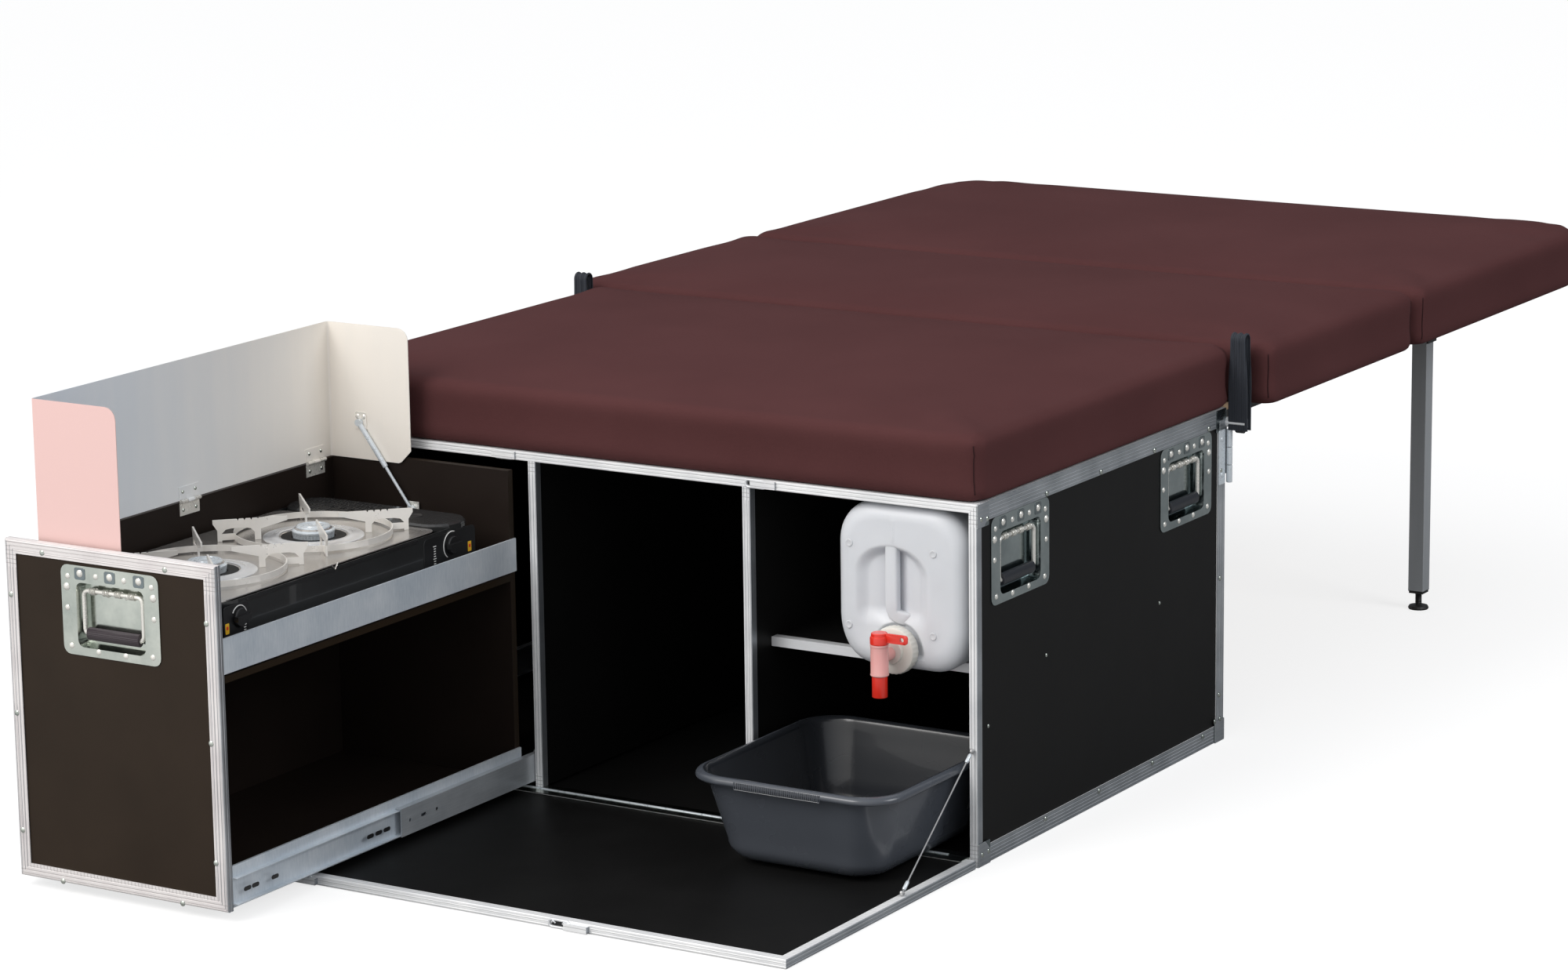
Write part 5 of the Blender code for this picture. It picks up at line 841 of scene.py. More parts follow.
cap = ridged(capRows, capRidge, 120, (tap["x"], tap["capFace"], tap["z"]), frontward)
capPiece = buildPiece("tapCap", [cap], "capWhite", "water_canister", 30)
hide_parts("tap_body")
barrelProfile = [
    (0.0, 0.2775), (0.0128, 0.2775), (0.0135, 0.2785), (0.0135, 0.2800), (0.0130, 0.2810),
    (0.0130, 0.3195), (0.0136, 0.3202), (0.0136, 0.3225), (0.0128, 0.3232), (0.0, 0.3232),
]
neckProfile = [(0.0, -0.4020), (0.0098, -0.4020), (0.0092, -0.4290), (0.0, -0.4300)]
spoutProfile = [
    (0.0, 0.2774), (0.0112, 0.2774), (0.0112, 0.2470), (0.0107, 0.2462), (0.0084, 0.2462),
    (0.0082, 0.2475), (0.0082, 0.2700), (0.0, 0.2700),
]
headProfile = [
    (0.0, 0.3236), (0.0132, 0.3236), (0.0137, 0.3243), (0.0137, 0.3330), (0.0130, 0.3350),
    (0.0122, 0.3352), (0.0120, 0.3392), (0.0110, 0.3402), (0.0, 0.3402),
]
tapAxis = (tap["x"], tap["y"], 0)
neck = turned(neckProfile, (tap["x"], 0, tap["z"] - 0.002), 24, (0, 1, 0))
barrel = [turned(barrelProfile, tapAxis, 40), neck]
buildPiece("tapBarrel", barrel, "tapPink", "water_canister")
spout = [turned(spoutProfile, tapAxis, 36)]
buildPiece("tapSpout", spout, "tapRed", "water_canister")
headPiece = buildPiece(
    "tapHead", [turned(headProfile, tapAxis, 36)], "tapRed", "water_lever"
)
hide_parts("tap_lever")

# The lever's arm is a rounded bar whose rows close through the round hole near its tip.
lever = {
    "root": 0.456, "tip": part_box("tap_lever")[1][0], "z": 0.3335, "thick": 0.0046, "tall": 0.0135,
    "hole": 0.0034, "holeIn": 0.0085,
}
leverOutline = evenly(roundRect(lever["tip"] - lever["root"], lever["tall"], 0.0042, 5), 48)
leverX = (lever["tip"] + lever["root"]) / 2
holeMiddle = (lever["tip"] - leverX - lever["holeIn"], 0.0)
holeTurn = np.arctan2(*(leverOutline - holeMiddle).T[::-1])
hole = holeMiddle + lever["hole"] * circle(holeTurn)
leverSteps = (
    (0.95 * leverOutline, -0.5), (leverOutline, -0.38), (leverOutline, 0.38),
    (0.95 * leverOutline, 0.5), (hole, 0.5), (hole, -0.5),
)
leverRows = np.array([layer(outline, depth * lever["thick"]) for outline, depth in leverSteps])
arm = place(leverRows, (leverX, tap["y"], lever["z"]), (1, 0, 0), (0, 0, 1), (0, 1, 0))
buildPiece("tapLeverArm", [arm], "tapRed", "water_lever", 40, True)
print("tap done")

# Washing bowl: outlines that widen with height, a rolled rim, and the same way back down inside.
bowlLow, bowlHigh = corners("bowl")
bowlMiddle = (bowlLow + bowlHigh) / 2
bowlSize = bowlHigh - bowlLow
bowl = {"taper": 0.036, "foot": 0.030, "wall": 0.0026, "corner": 0.062, "rim": 0.013, "lip": 0.010}
rimProfile = (
    (0.0030, 0.0115), (0.0008, 0.0105), (0.0, 0.0080), (0.0006, 0.0045), (0.0028, 0.0018),
    (0.0062, 0.0004), (0.0095, 0.0), (0.0125, 0.0010), (0.0148, 0.0038), (0.0160, 0.0080),
)


def bowlFoot(skin, start, end):
    turns = np.linspace(start, end, 8)
    insets = bowl["taper"] + skin + bowl["foot"] * (1 - np.sin(turns))
    return list(zip(insets, skin + bowl["foot"] * (1 - np.cos(turns))))


def bowlSlope(skin, shares):
    insets = bowl["taper"] + skin - (bowl["taper"] - bowl["rim"]) * shares
    return list(zip(insets, bowl["foot"] + (bowlSize[2] - bowl["lip"] - bowl["foot"]) * shares))


bowlRows = [(0.12, 0.0), (0.085, 0.0)]
bowlRows += bowlFoot(0.0, 0.0, np.pi / 2) + bowlSlope(0.0, np.linspace(0.2, 1.0, 6))
bowlRows += [(inset, bowlSize[2] - drop) for inset, drop in rimProfile]
bowlRows += bowlSlope(
    bowl["wall"], np.linspace(0.9, 0.2, 5)
) + bowlFoot(bowl["wall"], np.pi / 2, 0.0)
bowlRows += [(0.085, bowl["wall"]), (0.12, bowl["wall"])]
rings = []
for inset, height in bowlRows:
    wide, deep = bowlSize[:2] - 2 * inset
    outline = roundRect(wide, deep, max(bowl["corner"] - 0.35 * inset, 0.02), 14)
    rings.append(layer(bowlMiddle[:2] + outline, bowlLow[2] + height))
ends = [(*bowlMiddle[:2], bowlLow[2] + height) for height in (0.0, bowl["wall"])]
bowlPiece = buildPiece(
    "washingBowl", [capped(rings, *ends)], "bowl", "washing_bowl", 60
)
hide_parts("bowl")

# Grip ribs on the rim's front: small slabs in a row, framed by three thin beads.
rib = slab(0.0016, 0.0095, 0.0006, 0.0009, 0.0003, 2)
ribY, ribZ = bowlLow[1] + 0.0003, bowlHigh[2] - 0.0078
leaned = ((1, 0, 0), (0, 0.08, 1), (0, -1, 0.08))
gripRibs = [place(rib, (x, ribY, ribZ), *leaned) for x in np.arange(0.322, 0.456, 0.0031)]
gripLoops = (
    ((0.318, 0.0135), (0.390, 0.0137), (0.458, 0.0135)),
    ((0.318, 0.0135), (0.3178, 0.008), (0.3182, 0.003)),
    ((0.458, 0.0135), (0.4582, 0.008), (0.4578, 0.003)),
)
for loop in gripLoops:
    spots = [(x, bowlLow[1] + 0.0002, bowlHigh[2] - drop) for x, drop in loop]
    gripRibs.append(tubeAlong(spots, 0.0007, 6))
buildPiece("bowlGripRibs", gripRibs, "bowl", "washing_bowl")
print("bowl done")

# Recessed spring handles: rivets and tabs on the dish, springs on the bail's axis, bail and grip.
handle = {
    "flange": 0.0015,
    "bailWide": 0.104,
    "bailTall": 0.062,
    "bailRound": 0.0075,
    "rod": 0.0032,
    "axisV": 0.028,
    "axisW": -0.0057,
    "grip": 0.0068,
    "gripTall": 1.35,
    "gripHalf": 0.0465,
    "gripV": -0.0330,
    "gripRibs": 24,
    "tabV": 0.0525,
    "trayV": 0.0215,
    "trayW": -0.0148,
    "coil": 0.0043,
    "coilWire": 0.0008,
    "coilHalf": 0.0058,
    "coilTurns": 4,
}
smallRivets = (
    (-0.074, 0.047), (-0.024, 0.051), (0.026, 0.051), (0.074, 0.047), (-0.0765, 0.002),
    (0.0765, 0.002), (-0.072, -0.052), (-0.024, -0.056), (0.024, -0.056), (0.072, -0.052),
)
bigRivets = ((-0.052, 0.053), (0.001, 0.053), (0.052, 0.053), (-0.0765, 0.032), (0.0765, 0.032))
trayRivets = (-0.046, -0.016, 0.016, 0.046)
springPlaces = (-0.0345, -0.0105, 0.0105, 0.0345)


# The grip's radius follows a cosine round it, so that it has lengthwise ribs.
def gripGrid(depth):
    turn = fullTurn(96)
    radius = handle["grip"] * (1 - depth + depth * np.cos(handle["gripRibs"] * turn))
    half = handle["gripHalf"]
    ends = [(-half, 0.0), (-half, 0.8), (-half + 0.0012, 1.0)]
    ends += [(-reach, size) for reach, size in ends[::-1]]
    rows = []
    for reach, size in ends:
        tall = handle["gripV"] + handle["gripTall"] * size * radius * np.cos(turn)
        deep = handle["axisW"] + size * radius * np.sin(turn)
        rows.append(np.column_stack([np.full(len(turn), reach), tall, deep]))
    return np.array(rows)


def handleParts(prefix, node, origin, directions, dishBody, pullBody, gripLook, ribDepth):
    def put(grid):
        return place(grid, origin, *directions)

    level = handle["flange"]
    small = dome(0.0043, 0.0021)
    big = dome(0.0056, 0.0030, 12)
    tiny = dome(0.0027, 0.0012, 8)
    grids = [put(small + (u, v, level)) for u, v in smallRivets]
    grids += [put(big + (u, v, level)) for u, v in bigRivets]
    grids += [put(tiny + (u, handle["trayV"], handle["trayW"])) for u in trayRivets]
    tab = slab(0.019, 0.017, 0.003, 0.0007, 0.0002)
    tabs = [put(tab + (u, handle["tabV"], level - 0.0001)) for u in (-0.052, 0.001, 0.052)]
    buildPiece(prefix + "Tabs", tabs, "cornerSteel", dishBody)
    turn = np.linspace(0.0, 2 * np.pi * handle["coilTurns"], 64)
    spread = np.linspace(-handle["coilHalf"], handle["coilHalf"], 64)
    wound = (handle["axisV"], handle["axisW"]) + handle["coil"] * circle(turn)
    for spring in springPlaces:
        path = np.column_stack([spring + spread, wound])
        grids.append(put(tubeAlong(path, handle["coilWire"], 6)))
    buildPiece(prefix + "Rivets", grids, "bail", dishBody)
    loop = evenly(roundRect(handle["bailWide"], handle["bailTall"], handle["bailRound"], 5), 72)
    loop += (0.0, handle["axisV"] - handle["bailTall"] / 2)
    rod = put(tubeAlong(layer(loop, handle["axisW"]), handle["rod"], 12, True))
    bail = buildPiece(prefix + "Bail", [rod], "bail", pullBody, 60, True)
    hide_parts(node)
    buildPiece(prefix + "Grip", [put(gripGrid(ribDepth))], gripLook, pullBody, 45)


drawerSpot = (-0.3746, -1.1232, 0.417)
handleParts(
    "drawerHandle", "drawer_handle", drawerSpot, frontward, "drawer", "drawer_pull", "grip", 0.035
)
for side, way in (("right", 1), ("left", -1)):
    for end, y in (("front", -0.266), ("rear", 0.260)):
        node = side + "_" + end
        handleParts(
            side + end.capitalize() + "Handle", node + "_handle", (way * 0.5832, y, 0.4375),
            sideways(way), "box", node + "_pull", "shadedSideGrip", 0.008,
        )
print("handles done")

# Rivet heads along the rails, corner plates and panel screws, each by two coordinates on its face.
head = dome(0.0042, 0.0019)
screwHead = dome(0.0030, 0.0013)
drawerRivets = (
    (-0.493, 0.492), (-0.2756, 0.492), (-0.553, 0.426), (-0.553, 0.2545), (-0.553, 0.083),
    (-0.207, 0.4244), (-0.207, 0.2555), (-0.207, 0.0852), (-0.483, 0.018), (-0.2686, 0.018),
)
drawerSpots = [((x, -1.125, z), (0, -1, 0)) for x, z in drawerRivets]
buildPiece("drawerFrameRivets", stamp(head, drawerSpots), "zinc", "drawer")
sideRivets = (
    (-0.188, 0.5065), (-0.0204, 0.5065), (0.152, 0.5065), (0.3347, 0.5065), (-0.193, 0.0215),
    (-0.0255, 0.0215), (0.1492, 0.0215), (0.3207, 0.0215), (0.3765, 0.4335), (0.3765, 0.2629),
    (0.3765, 0.0757), (-0.3828, 0.5064), (-0.3650, 0.5045), (-0.3838, 0.0171), (-0.3653, 0.0180),
    (0.3617, 0.0357), (0.3800, 0.0357),
)
panelScrews = ((-0.3597, 0.2013), (-0.186, 0.266), (0.175, 0.266))
cornerPlate = slab(0.0345, 0.0345, 0.002, 0.0009, 0.0002)
spots = []
screwSpots = []
plateGrids = []
for way in (1, -1):
    spots += [((way * 0.5858, y, z), (way, 0, 0)) for y, z in sideRivets]
    screwSpots += [((way * 0.5832, y, z), (way, 0, 0)) for y, z in panelScrews]
    for y, z in ((-0.3775, 0.5120), (-0.3775, 0.0180), (0.3775, 0.0180), (0.3775, 0.5120)):
        plateGrids.append(place(cornerPlate, (way * 0.5849, y, z), *sideways(way)))
rearRivets = [(x, z) for x in (-0.42, -0.14, 0.14, 0.42) for z in (0.5065, 0.0215)]
rearRivets += [(x, z) for x in (-0.571, 0.571) for z in (0.12, 0.27, 0.42)]
spots += [((x, 0.3950, z), (0, 1, 0)) for x, z in rearRivets]
buildPiece("railRivets", stamp(head, spots), "zinc", "box")
buildPiece("panelScrews", stamp(screwHead, screwSpots), "zinc", "box")
buildPiece("cornerPlates", plateGrids, "cornerSteel", "box")
print("rivets done")

# Stove: burner caps with ported rims, black wells and dished rings, turned on the burner's axis.
stove = {
    "burnerX": -0.3528, "burners": (-0.9422, -0.6908), "plateTop": 0.4438, "wall": -0.2108,
    "panelZ": 0.4030, "panelW": -0.0004, "markZ": 0.3860, "markStep": 0.0037, "dialZ": 0.4173,
}
burnerRows = (
    (0.0, 0.4318, 0), (0.0180, 0.4318, 0), (0.0182, 0.4405, 0), (0.0300, 0.4425, 1),
    (0.0306, 0.4500, 1), (0.0312, 0.4512, 0), (0.0312, 0.4538, 0), (0.0290, 0.4556, 0),
    (0.0255, 0.4562, 0), (0.0250, 0.4590, 0), (0.0238, 0.4602, 0), (0.0200, 0.4604, 0),
    (0.0194, 0.4596, 0), (0.0150, 0.4596, 0), (0.0144, 0.4606, 0), (0.0080, 0.4607, 0),
    (0.0072, 0.4600, 0), (0.0, 0.4599, 0),
)
wellProfile = [(0.0495, 0.4436), (0.0495, 0.4444), (0.0318, 0.4442), (0.0316, 0.4436)]
ringProfile = [
    (0.0500, 0.4436), (0.0503, 0.4462), (0.0520, 0.4470), (0.0560, 0.4462), (0.0650, 0.4448),
    (0.0700, 0.4452), (0.0735, 0.4446), (0.0740, 0.4436),
]


def burnerPorts(turn):
    return 1 - 0.035 * (np.cos(turn * 36) > 0.2)


centres = [(stove["burnerX"], y, 0) for y in stove["burners"]]
burnerGrids = [ridged(burnerRows, burnerPorts, 144, centre, upward) for centre in centres]
wellGrids = [turned(wellProfile, centre, 64) for centre in centres]
ringGrids = [turned(ringProfile, centre, 96) for centre in centres]
buildPiece("burnerCaps", burnerGrids, "steel", "drawer", 30)
buildPiece("burnerWells", wellGrids, "boardZ", "drawer", 30, True)
buildPiece("burnerRings", ringGrids, "ring", "drawer", 40, True)


# Control panels on the stove's side: raised plates with marks, a dial arc, tags and ribs.
def onSide(grid, y, z, proud):
    return place(grid, (stove["wall"] + proud, y, z), *rightward)


panelGrids = [
    onSide(slab(0.055, 0.068, 0.006, 0.0012, 0.0004, 4), -1.0555, stove["panelZ"], stove["panelW"]),
    onSide(slab(0.128, 0.068, 0.008, 0.0012, 0.0004, 4), -0.5520, stove["panelZ"], stove["panelW"]),
    onSide(slab(0.4, 0.0035, 0.0015, 0.0016, 0.0005), -0.8300, 0.4385, stove["panelW"]),
]
buildPiece("stovePanels", panelGrids, "black", "drawer")
markGrids = []
for y in (-1.0370, -0.5900):
    for step in range(11):
        grid = slab(0.0050 if step % 5 else 0.0075, 0.0013, 0.0004, 0.0005, 0.0001, 2)
        markGrids.append(onSide(grid, y, stove["markZ"] + step * stove["markStep"], 0.0007))
for y, radius, start, stop in ((-0.5480, 0.0200, 70, 235), (-1.0490, 0.0165, 20, 150)):
    angles = np.radians(np.linspace(start, stop, 26))
    arc = layer(radius * circle(angles), 0.0)
    markGrids.append(tubeAlong(onSide(arc, y, stove["dialZ"], 0.0012), 0.0008, 6))
buildPiece("stoveMarks", markGrids, "white", "drawer")
tag = slab(0.0085, 0.0150, 0.001, 0.0005, 0.0001, 2)
dot = slab(0.0045, 0.0050, 0.001, 0.0004, 0.0001, 2)
tagGrids = [onSide(tag, y, 0.4060, 0.0007) for y in (-1.0760, -0.5030)]
dotGrids = [onSide(dot, y, 0.4070, 0.0011) for y in (-1.0760, -0.5030)]
buildPiece("stoveTags", tagGrids, "yellow", "drawer")
buildPiece("stoveTagDots", dotGrids, "redMark", "drawer")
catch = [
    (-0.2104, -0.8380, 0.4475), (-0.2098, -0.8340, 0.4430), (-0.2094, -0.8300, 0.4385),
    (-0.2098, -0.8260, 0.4430), (-0.2104, -0.8220, 0.4475),
]
edgeRod = [(-0.2158, y, stove["plateTop"]) for y in np.linspace(-1.068, -0.590, 30)]
tubes = [tubeAlong(catch, 0.0011, 8), tubeAlong(edgeRod, 0.0010, 8)]
buildPiece("stoveTrim", tubes, "stovePlate", "drawer")
louvre = slab(0.0030, 0.0160, 0.0013, 0.0010, 0.0002, 4)
louvreGrids = []
for x in np.arange(-0.486, -0.372, 0.0078):
    louvreGrids += [place(louvre, (x, y, 0.4479), *upward) for y in (-0.5520, -0.5280, -0.5040)]
hubProfile = [
    (0.0, 0.4478), (0.0125, 0.4478), (0.0130, 0.4487), (0.0118, 0.4492), (0.0105, 0.4487),
    (0.0, 0.4486),
]
louvreGrids.append(turned(hubProfile, (-0.2900, -0.5290, 0), 32))
buildPiece("stoveVents", louvreGrids, "black", "drawer")
print("stove done")

# Webbing loop: a flat section carried up, over and down, with pleats that grow toward the top.
strapLow, strapHigh = corners("strap")
strap = {"width": 0.0310, "thick": 0.0024, "pleats": 3.0, "pleatDepth": 0.0013, "samples": 90}


def strapGrid(mirror):
    middle = (strapLow + strapHigh) / 2
    half = (strapHigh[1] - strapLow[1]) / 2 - strap["thick"] / 2 - strap["pleatDepth"]
    top = strapHigh[2] - strap["thick"] / 2 - strap["pleatDepth"] - half
    rise = top - strapLow[2]
    turnAt = rise / (2 * rise + np.pi * half)
    rows = []
    for value in np.linspace(0.0, 1.0, strap["samples"]):
        if turnAt <= value <= 1 - turnAt:
            angle = np.pi - np.pi * (value - turnAt) / (1 - 2 * turnAt)
            spot = (middle[1] + half * np.cos(angle), top + half * np.sin(angle))
            ahead = (np.sin(angle), -np.cos(angle))
            topness = 1.0
        else:
            side, close = (-1.0, 0.75) if value < turnAt else (1.0, 0.65)
            way = min(value, 1 - value) / turnAt
            reach = close + (1 - close) * eased(way, 0.2, 0.9)
            spot = (middle[1] + side * half * reach, strapLow[2] + rise * way)
            ahead = (0.0, -side)
            topness = eased(way, 0.45, 1.0)
        wide = strap["width"] * (1.06 - 0.26 * topness)
        section = evenly(roundRect(wide, strap["thick"], 0.0009, 3), 64)
        wave = np.cos(2 * np.pi * strap["pleats"] * section[:, 0] / strap["width"])
        offset = section[:, 1] + strap["pleatDepth"] * topness * wave
        y = spot[0] - offset * ahead[1]
        z = spot[1] + offset * ahead[0]
        rows.append(np.stack([mirror * (middle[0] + section[:, 0]), y, z], axis=1))
    return capped(rows, rows[0].mean(axis=0), rows[-1].mean(axis=0))


strapPiece = buildPiece("rightStrap", [strapGrid(1)], "webbing", "box", 50)
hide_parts("strap")
buildPiece("leftStrap", [strapGrid(-1)], "webbing", "box", 50)

# Bed hinge at each rear corner: a leaf with two rivets, an upright barrel and the strap's pin.
hingeGrids = []
pinGrids = []
leaf = slab(0.022, 0.086, 0.003, 0.0012, 0.0003)
pinProfile = [
    (0.0, 0.0), (0.0062, 0.0), (0.0068, 0.0008), (0.0068, 0.0130), (0.0062, 0.0138), (0.0, 0.0138),
]
for way in (1, -1):
    hingeGrids.append(place(leaf, (way * 0.5852, 0.3790, 0.4540), *sideways(way)))
    for low, high in ((0.4120, 0.4390), (0.4400, 0.4670), (0.4680, 0.4955)):
        sleeve = [(0.0, low), (0.0042, low), (0.0048, low + 0.0008)]
        sleeve += [(0.0048, high - 0.0008), (0.0042, high), (0.0, high)]
        hingeGrids.append(turned(sleeve, (way * 0.5905, 0.3960, 0), 20))
    pinGrids.append(turned(pinProfile, (way * 0.5985, 0.4040, 0.4960), 28, (way, 0, 0)))
    hingeGrids += stamp(head, [((way * 0.5864, 0.3790, z), (way, 0, 0)) for z in (0.4260, 0.4820)])
buildPiece("bedHinges", hingeGrids, "steel", "box")
buildPiece("strapPins", pinGrids, "black", "box")
print("straps done")

# Screws of the windscreen's hinges, rivets of the piano hinge, cable fittings and slide clips.
screwY = [centre + step for centre in (-0.772, -0.470) for step in (-0.0145, 0.0145)]
for name, z, body in (("screenScrews", 0.5110, "screen"), ("panelHingeScrews", 0.4840, "drawer")):
    spots = [((-0.5144, y, z), (1, 0, 0)) for y in screwY]
    buildPiece(name, stamp(screwHead, spots), "zinc", body)
pianoLow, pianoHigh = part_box("piano_hinge")
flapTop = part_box("flap_panel")[1][2]
pianoX = np.linspace(pianoLow[0] + 0.03, pianoHigh[0] - 0.03, 10)
pianoSpots = [((x, -0.4080, flapTop + 0.0004), (0, 0, 1)) for x in pianoX]
buildPiece("pianoRivets", stamp(screwHead, pianoSpots), "zinc", "box")
cableEnd = np.array([0.5782, -0.5990, 0.0180])
cableTop = np.array([0.5782, -0.3995, 0.1730])
cableWay = unit(cableTop - cableEnd)
ferruleRows = [
    (0.0, 0.006), (0.0024, 0.006), (0.0028, 0.0072), (0.0028, 0.0190), (0.0022, 0.0205),
    (0.0, 0.0205),
]
cableEnds = ((cableEnd, cableWay), (cableTop, -cableWay))
cableGrids = [turned(ferruleRows, spot, 14, way) for spot, way in cableEnds]
buildPiece("cableFerrules", cableGrids, "steel", "box")
clip = slab(0.012, 0.0455, 0.002, 0.0010, 0.0003)
clipGrids = []
for x, way in ((-0.1896, -1), (-0.5596, 1)):
    clipGrids.append(place(clip, (x, -0.7275, 0.045), (0, 1, 0), (0, 0, 1), (way, 0, 0)))
buildPiece("slideClips", clipGrids, "zinc", "slide_middles")

# Foot threads: a thin tube wound round each stem by a circle that rises evenly.
wound = np.linspace(0.0, 2 * np.pi * 11, 11 * 20)
for side, x in (("right", 0.505), ("left", -0.505)):
    path = np.column_stack([0.0052 * circle(wound), 0.0185 * wound / wound[-1]])
    thread = tubeAlong(path + (x, 1.3246, 0.0100), 0.0006, 5)
    buildPiece(side + "FootThread", [thread], "black", side + "_bed_leg", 60)

# The stay's upper plate on the windscreen's wing, with its two rivets.
stayTop = np.array([-0.4579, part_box("windscreen")[1][1] - 0.0012, 0.5590])
stayGrids = [place(slab(0.021, 0.024, 0.003, 0.0012, 0.0003), stayTop, *frontward)]
stayGrids += stamp(
    head, [(stayTop + (step, -0.0012, 0.005), (0, -1, 0)) for step in (-0.0055, 0.0055)]
)
buildPiece("stayPlate", stayGrids, "bail", "screen")
print("small parts done")

# Aluminium strip on the canister shelf's front edge: one slab a little taller than the shelf.
shelfLow, shelfHigh = corners("canister_shelf")
shelfX, shelfZ = ((shelfLow + shelfHigh) / 2)[[0, 2]]
shelfWide, shelfTall = (shelfHigh - shelfLow)[[0, 2]]
shelfStrip = slab(shelfWide - 0.0008, shelfTall + 0.0006, 0.0009, 0.0150, 0.0004)
shelfEdge = place(shelfStrip, (shelfX, shelfLow[1] + 0.0146, shelfZ), *frontward)
buildPiece("shelfEdge", [shelfEdge], "strip", "box")

# Knuckles of the piano hinge: a barrel whose radius drops at every joint between two leaves.
knuckle = {"pitch": 0.032, "radius": 0.0030, "gap": 0.0009}
knuckleRows = [(0.0, pianoLow[0])]
for start in np.arange(pianoLow[0], pianoHigh[0] - knuckle["pitch"], knuckle["pitch"]):
    for reach, share in (
        (0.0, 0.6), (knuckle["gap"], 0.6), (knuckle["gap"], 1.0), (knuckle["pitch"], 1.0),
    ):
        knuckleRows.append((knuckle["radius"] * share, start + reach))
knuckleRows.append((0.0, knuckleRows[-1][1]))
knuckleGrid = turned(knuckleRows, (0.0, -0.3985, flapTop + 0.0018), 14, (1, 0, 0))
buildPiece("hingeKnuckles", [knuckleGrid], "steel", "box")

# Keepers on the top rail and latches on the flap's front: a bright loop round a dark slab, painted
# shade for the slot's opening.
latch = {"wide": 0.034, "tall": 0.0105, "rod": 0.0019}
loopOutline = evenly(roundRect(latch["wide"], latch["tall"], 0.0045, 5), 48)
loopGrid = tubeAlong(layer(loopOutline, 0.0), latch["rod"], 8, True)
slotGrid = slab(latch["wide"] - 0.006, latch["tall"] - 0.005, 0.0024, 0.0008, 0.0002, 4)
loopGrids = []
slotShadeGrids = []
for x in (-0.219, 0.222):
    for y, z in ((-0.3962, 0.5232), (-0.9196, 0.0075)):
        loopGrids.append(place(loopGrid, (x, y, z), *frontward))
        # Painted shade: a dark slab behind each loop stands for the slot's opening.
        slotShadeGrids.append(place(slotGrid, (x, y + 0.0006, z), *frontward))
for way in (-1, 1):
    ear = [(0.006, -0.9205, 0.0085), (0.009, -0.9225, 0.0120), (0.012, -0.9205, 0.0085)]
    loopGrids.append(tubeAlong([(0.222 + way * x, y, z) for x, y, z in ear], 0.0012, 8))
buildPiece("latchLoops", loopGrids, "strip", "box", 60, True)
buildPiece("latchSlotShades", slotShadeGrids, "black", "box")

# Oval slots in the right slide's inner member: thin dark slabs in one row on its right face,
# painted shade where the slots' holes are.
slideSlot = plate(evenly(roundRect(0.016, 0.0062, 0.0030, 4), 24), 0.0006, 0.0001)
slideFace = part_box("right_runner")[1][0] + 0.0001
slotY = (-1.092, -1.074, -1.030, -0.808, -0.788, -0.768)
slotShadeSlabs = [place(slideSlot, (slideFace, y, 0.045), *rightward) for y in slotY]
buildPiece("slideSlotShades", slotShadeSlabs, "black", "drawer")

# Camera fitted to the photograph, turned by its yaw, pitch and roll.
cameraPlace = {
    "spot": (3.6492, -5.8809, 1.9266),
    "yaw": 31.6391,
    "pitch": -12.323,
    "roll": -0.7612,
    "lens": 105.57,
}
yaw, pitch, roll = (np.radians(cameraPlace[key]) for key in ("yaw", "pitch", "roll"))
ahead = np.array([-np.sin(yaw) * np.cos(pitch), np.cos(yaw) * np.cos(pitch), np.sin(pitch)])
levelRight = np.array([np.cos(yaw), np.sin(yaw), 0.0])
levelUp = np.cross(levelRight, ahead)
cameraRight = levelRight * np.cos(roll) + levelUp * np.sin(roll)
cameraUp = levelUp * np.cos(roll) - levelRight * np.sin(roll)
cameraData = bpy.data.cameras.new("photoCamera")
cameraData.lens = cameraPlace["lens"]
cameraData.sensor_width = 36.0
cameraData.clip_end = 60.0
camera = bpy.data.objects.new("photoCamera", cameraData)
turnRows = np.array([cameraRight, cameraUp, -ahead]).T.tolist()
camera.matrix_world = Matrix.Translation(cameraPlace["spot"]) @ Matrix(turnRows).to_4x4()
bpy.context.scene.collection.objects.link(camera)
bpy.context.scene.camera = camera

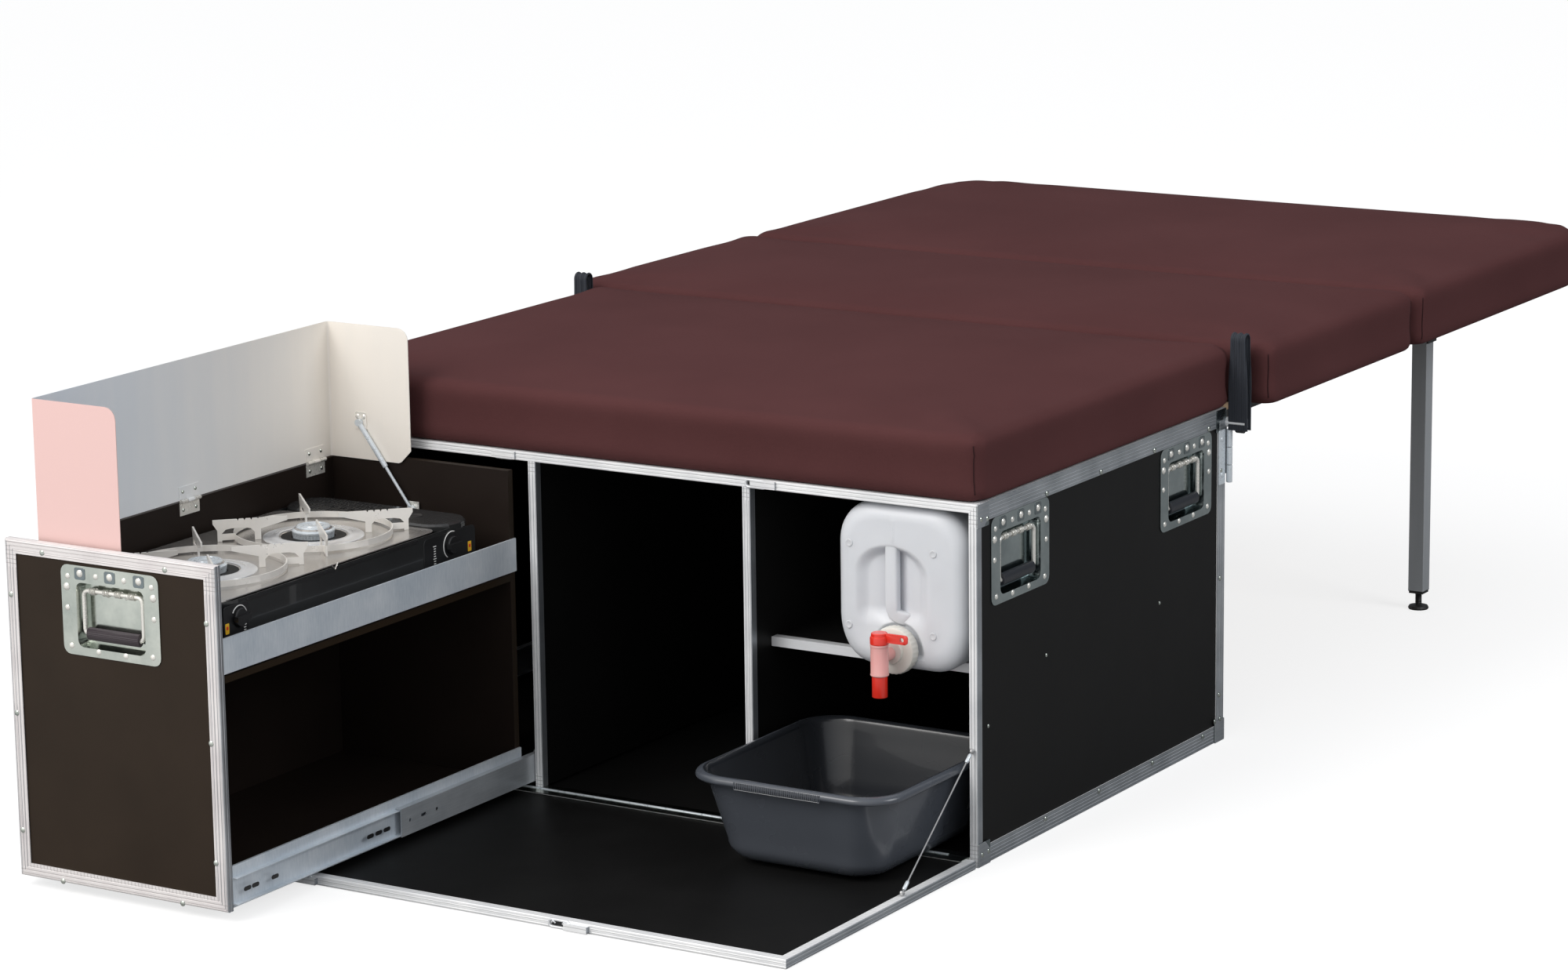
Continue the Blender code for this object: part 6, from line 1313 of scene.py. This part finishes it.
# A wide white floor that clips to white in the light and keeps the contact shadow.
floorHalf = 30.0
floorMesh = bpy.data.meshes.new("studioFloor")
floorCorners = [(x * floorHalf, y * floorHalf, 0) for x, y in ((-1, -1), (1, -1), (1, 1), (-1, 1))]
floorMesh.from_pydata(floorCorners, [], [(0, 1, 2, 3)])
floorTarget, floorKit, floorSpot = newShader("studioFloor")
frontShare = (floorKit.axes(floorSpot)[1] * -1.0).fit(0.0, 1.0, 0.9, 2.8)
bright = frontShare.blendTo(grey(0.0), grey(0.85))
mirrored = floorKit.make("LightPath", out=3).blendTo(grey(0.0), bright)
floorGlow = floorKit.make("LightPath", out=0).blendTo(mirrored, grey(1.0))
glow = {"Specular IOR Level": 0.0, "Emission Color": floorGlow, "Emission Strength": 0.74}
floorMesh.materials.append(dress(floorTarget, grey(0.34), 1.0, None, glow))
studioFloor = bpy.data.objects.new("studioFloor", floorMesh)
bpy.context.scene.collection.objects.link(studioFloor)
studioFloor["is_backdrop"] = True

# Sky: white to the camera. For light and reflections it grades from dim behind to bright in front.
world = bpy.data.worlds.new("studio")
world.use_nodes = True
bpy.context.scene.world = world
sky = world.node_tree
backdrop = sky.nodes["Background"]
kit = Wire(sky)
skyX, skyY, skyZ = kit.axes(kit.make("TexCoord", out=0))
frontness = skyX * -0.45 + skyY * -0.80 + skyZ * 0.42
stops = (
    (0.0, (0.10, 0.11, 0.125)), (0.45, (0.36, 0.38, 0.41)), (0.75, (0.85, 0.86, 0.88)),
    (1.0, (1.20, 1.18, 1.15)),
)
grade = kit.make("ValToRGB", {"stops": stops}, {0: frontness.fit(0.0, 1.0, -1.0, 1.0)})
seen = kit.make("LightPath", out=0)
sky.links.new(seen.blendTo(grade, grey(1.0)).socket, backdrop.inputs["Color"])
backdrop.inputs["Strength"].default_value = 1.0


def addLight(name, spot, aim, size, watts, tint):
    data = bpy.data.lights.new(name, "AREA")
    data.size = size
    data.energy = watts
    data.color = tint
    lamp = bpy.data.objects.new(name, data)
    lamp.location = spot
    lamp.rotation_euler = (Vector(aim) - Vector(spot)).to_track_quat("-Z", "Y").to_euler()
    bpy.context.scene.collection.objects.link(lamp)
    lamp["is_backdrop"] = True


addLight("keyLight", (-1.5, -4.5, 4.2), (0.0, 0.0, 0.3), 3.0, 170.0, (1.0, 0.98, 0.96))
addLight("sideLight", (5.0, 0.5, 3.4), (0.3, 0.2, 0.3), 2.6, 100.0, (0.98, 0.99, 1.0))

view = bpy.context.scene.view_settings
view.view_transform = "Standard"
print("camera and light placed")

low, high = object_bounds()
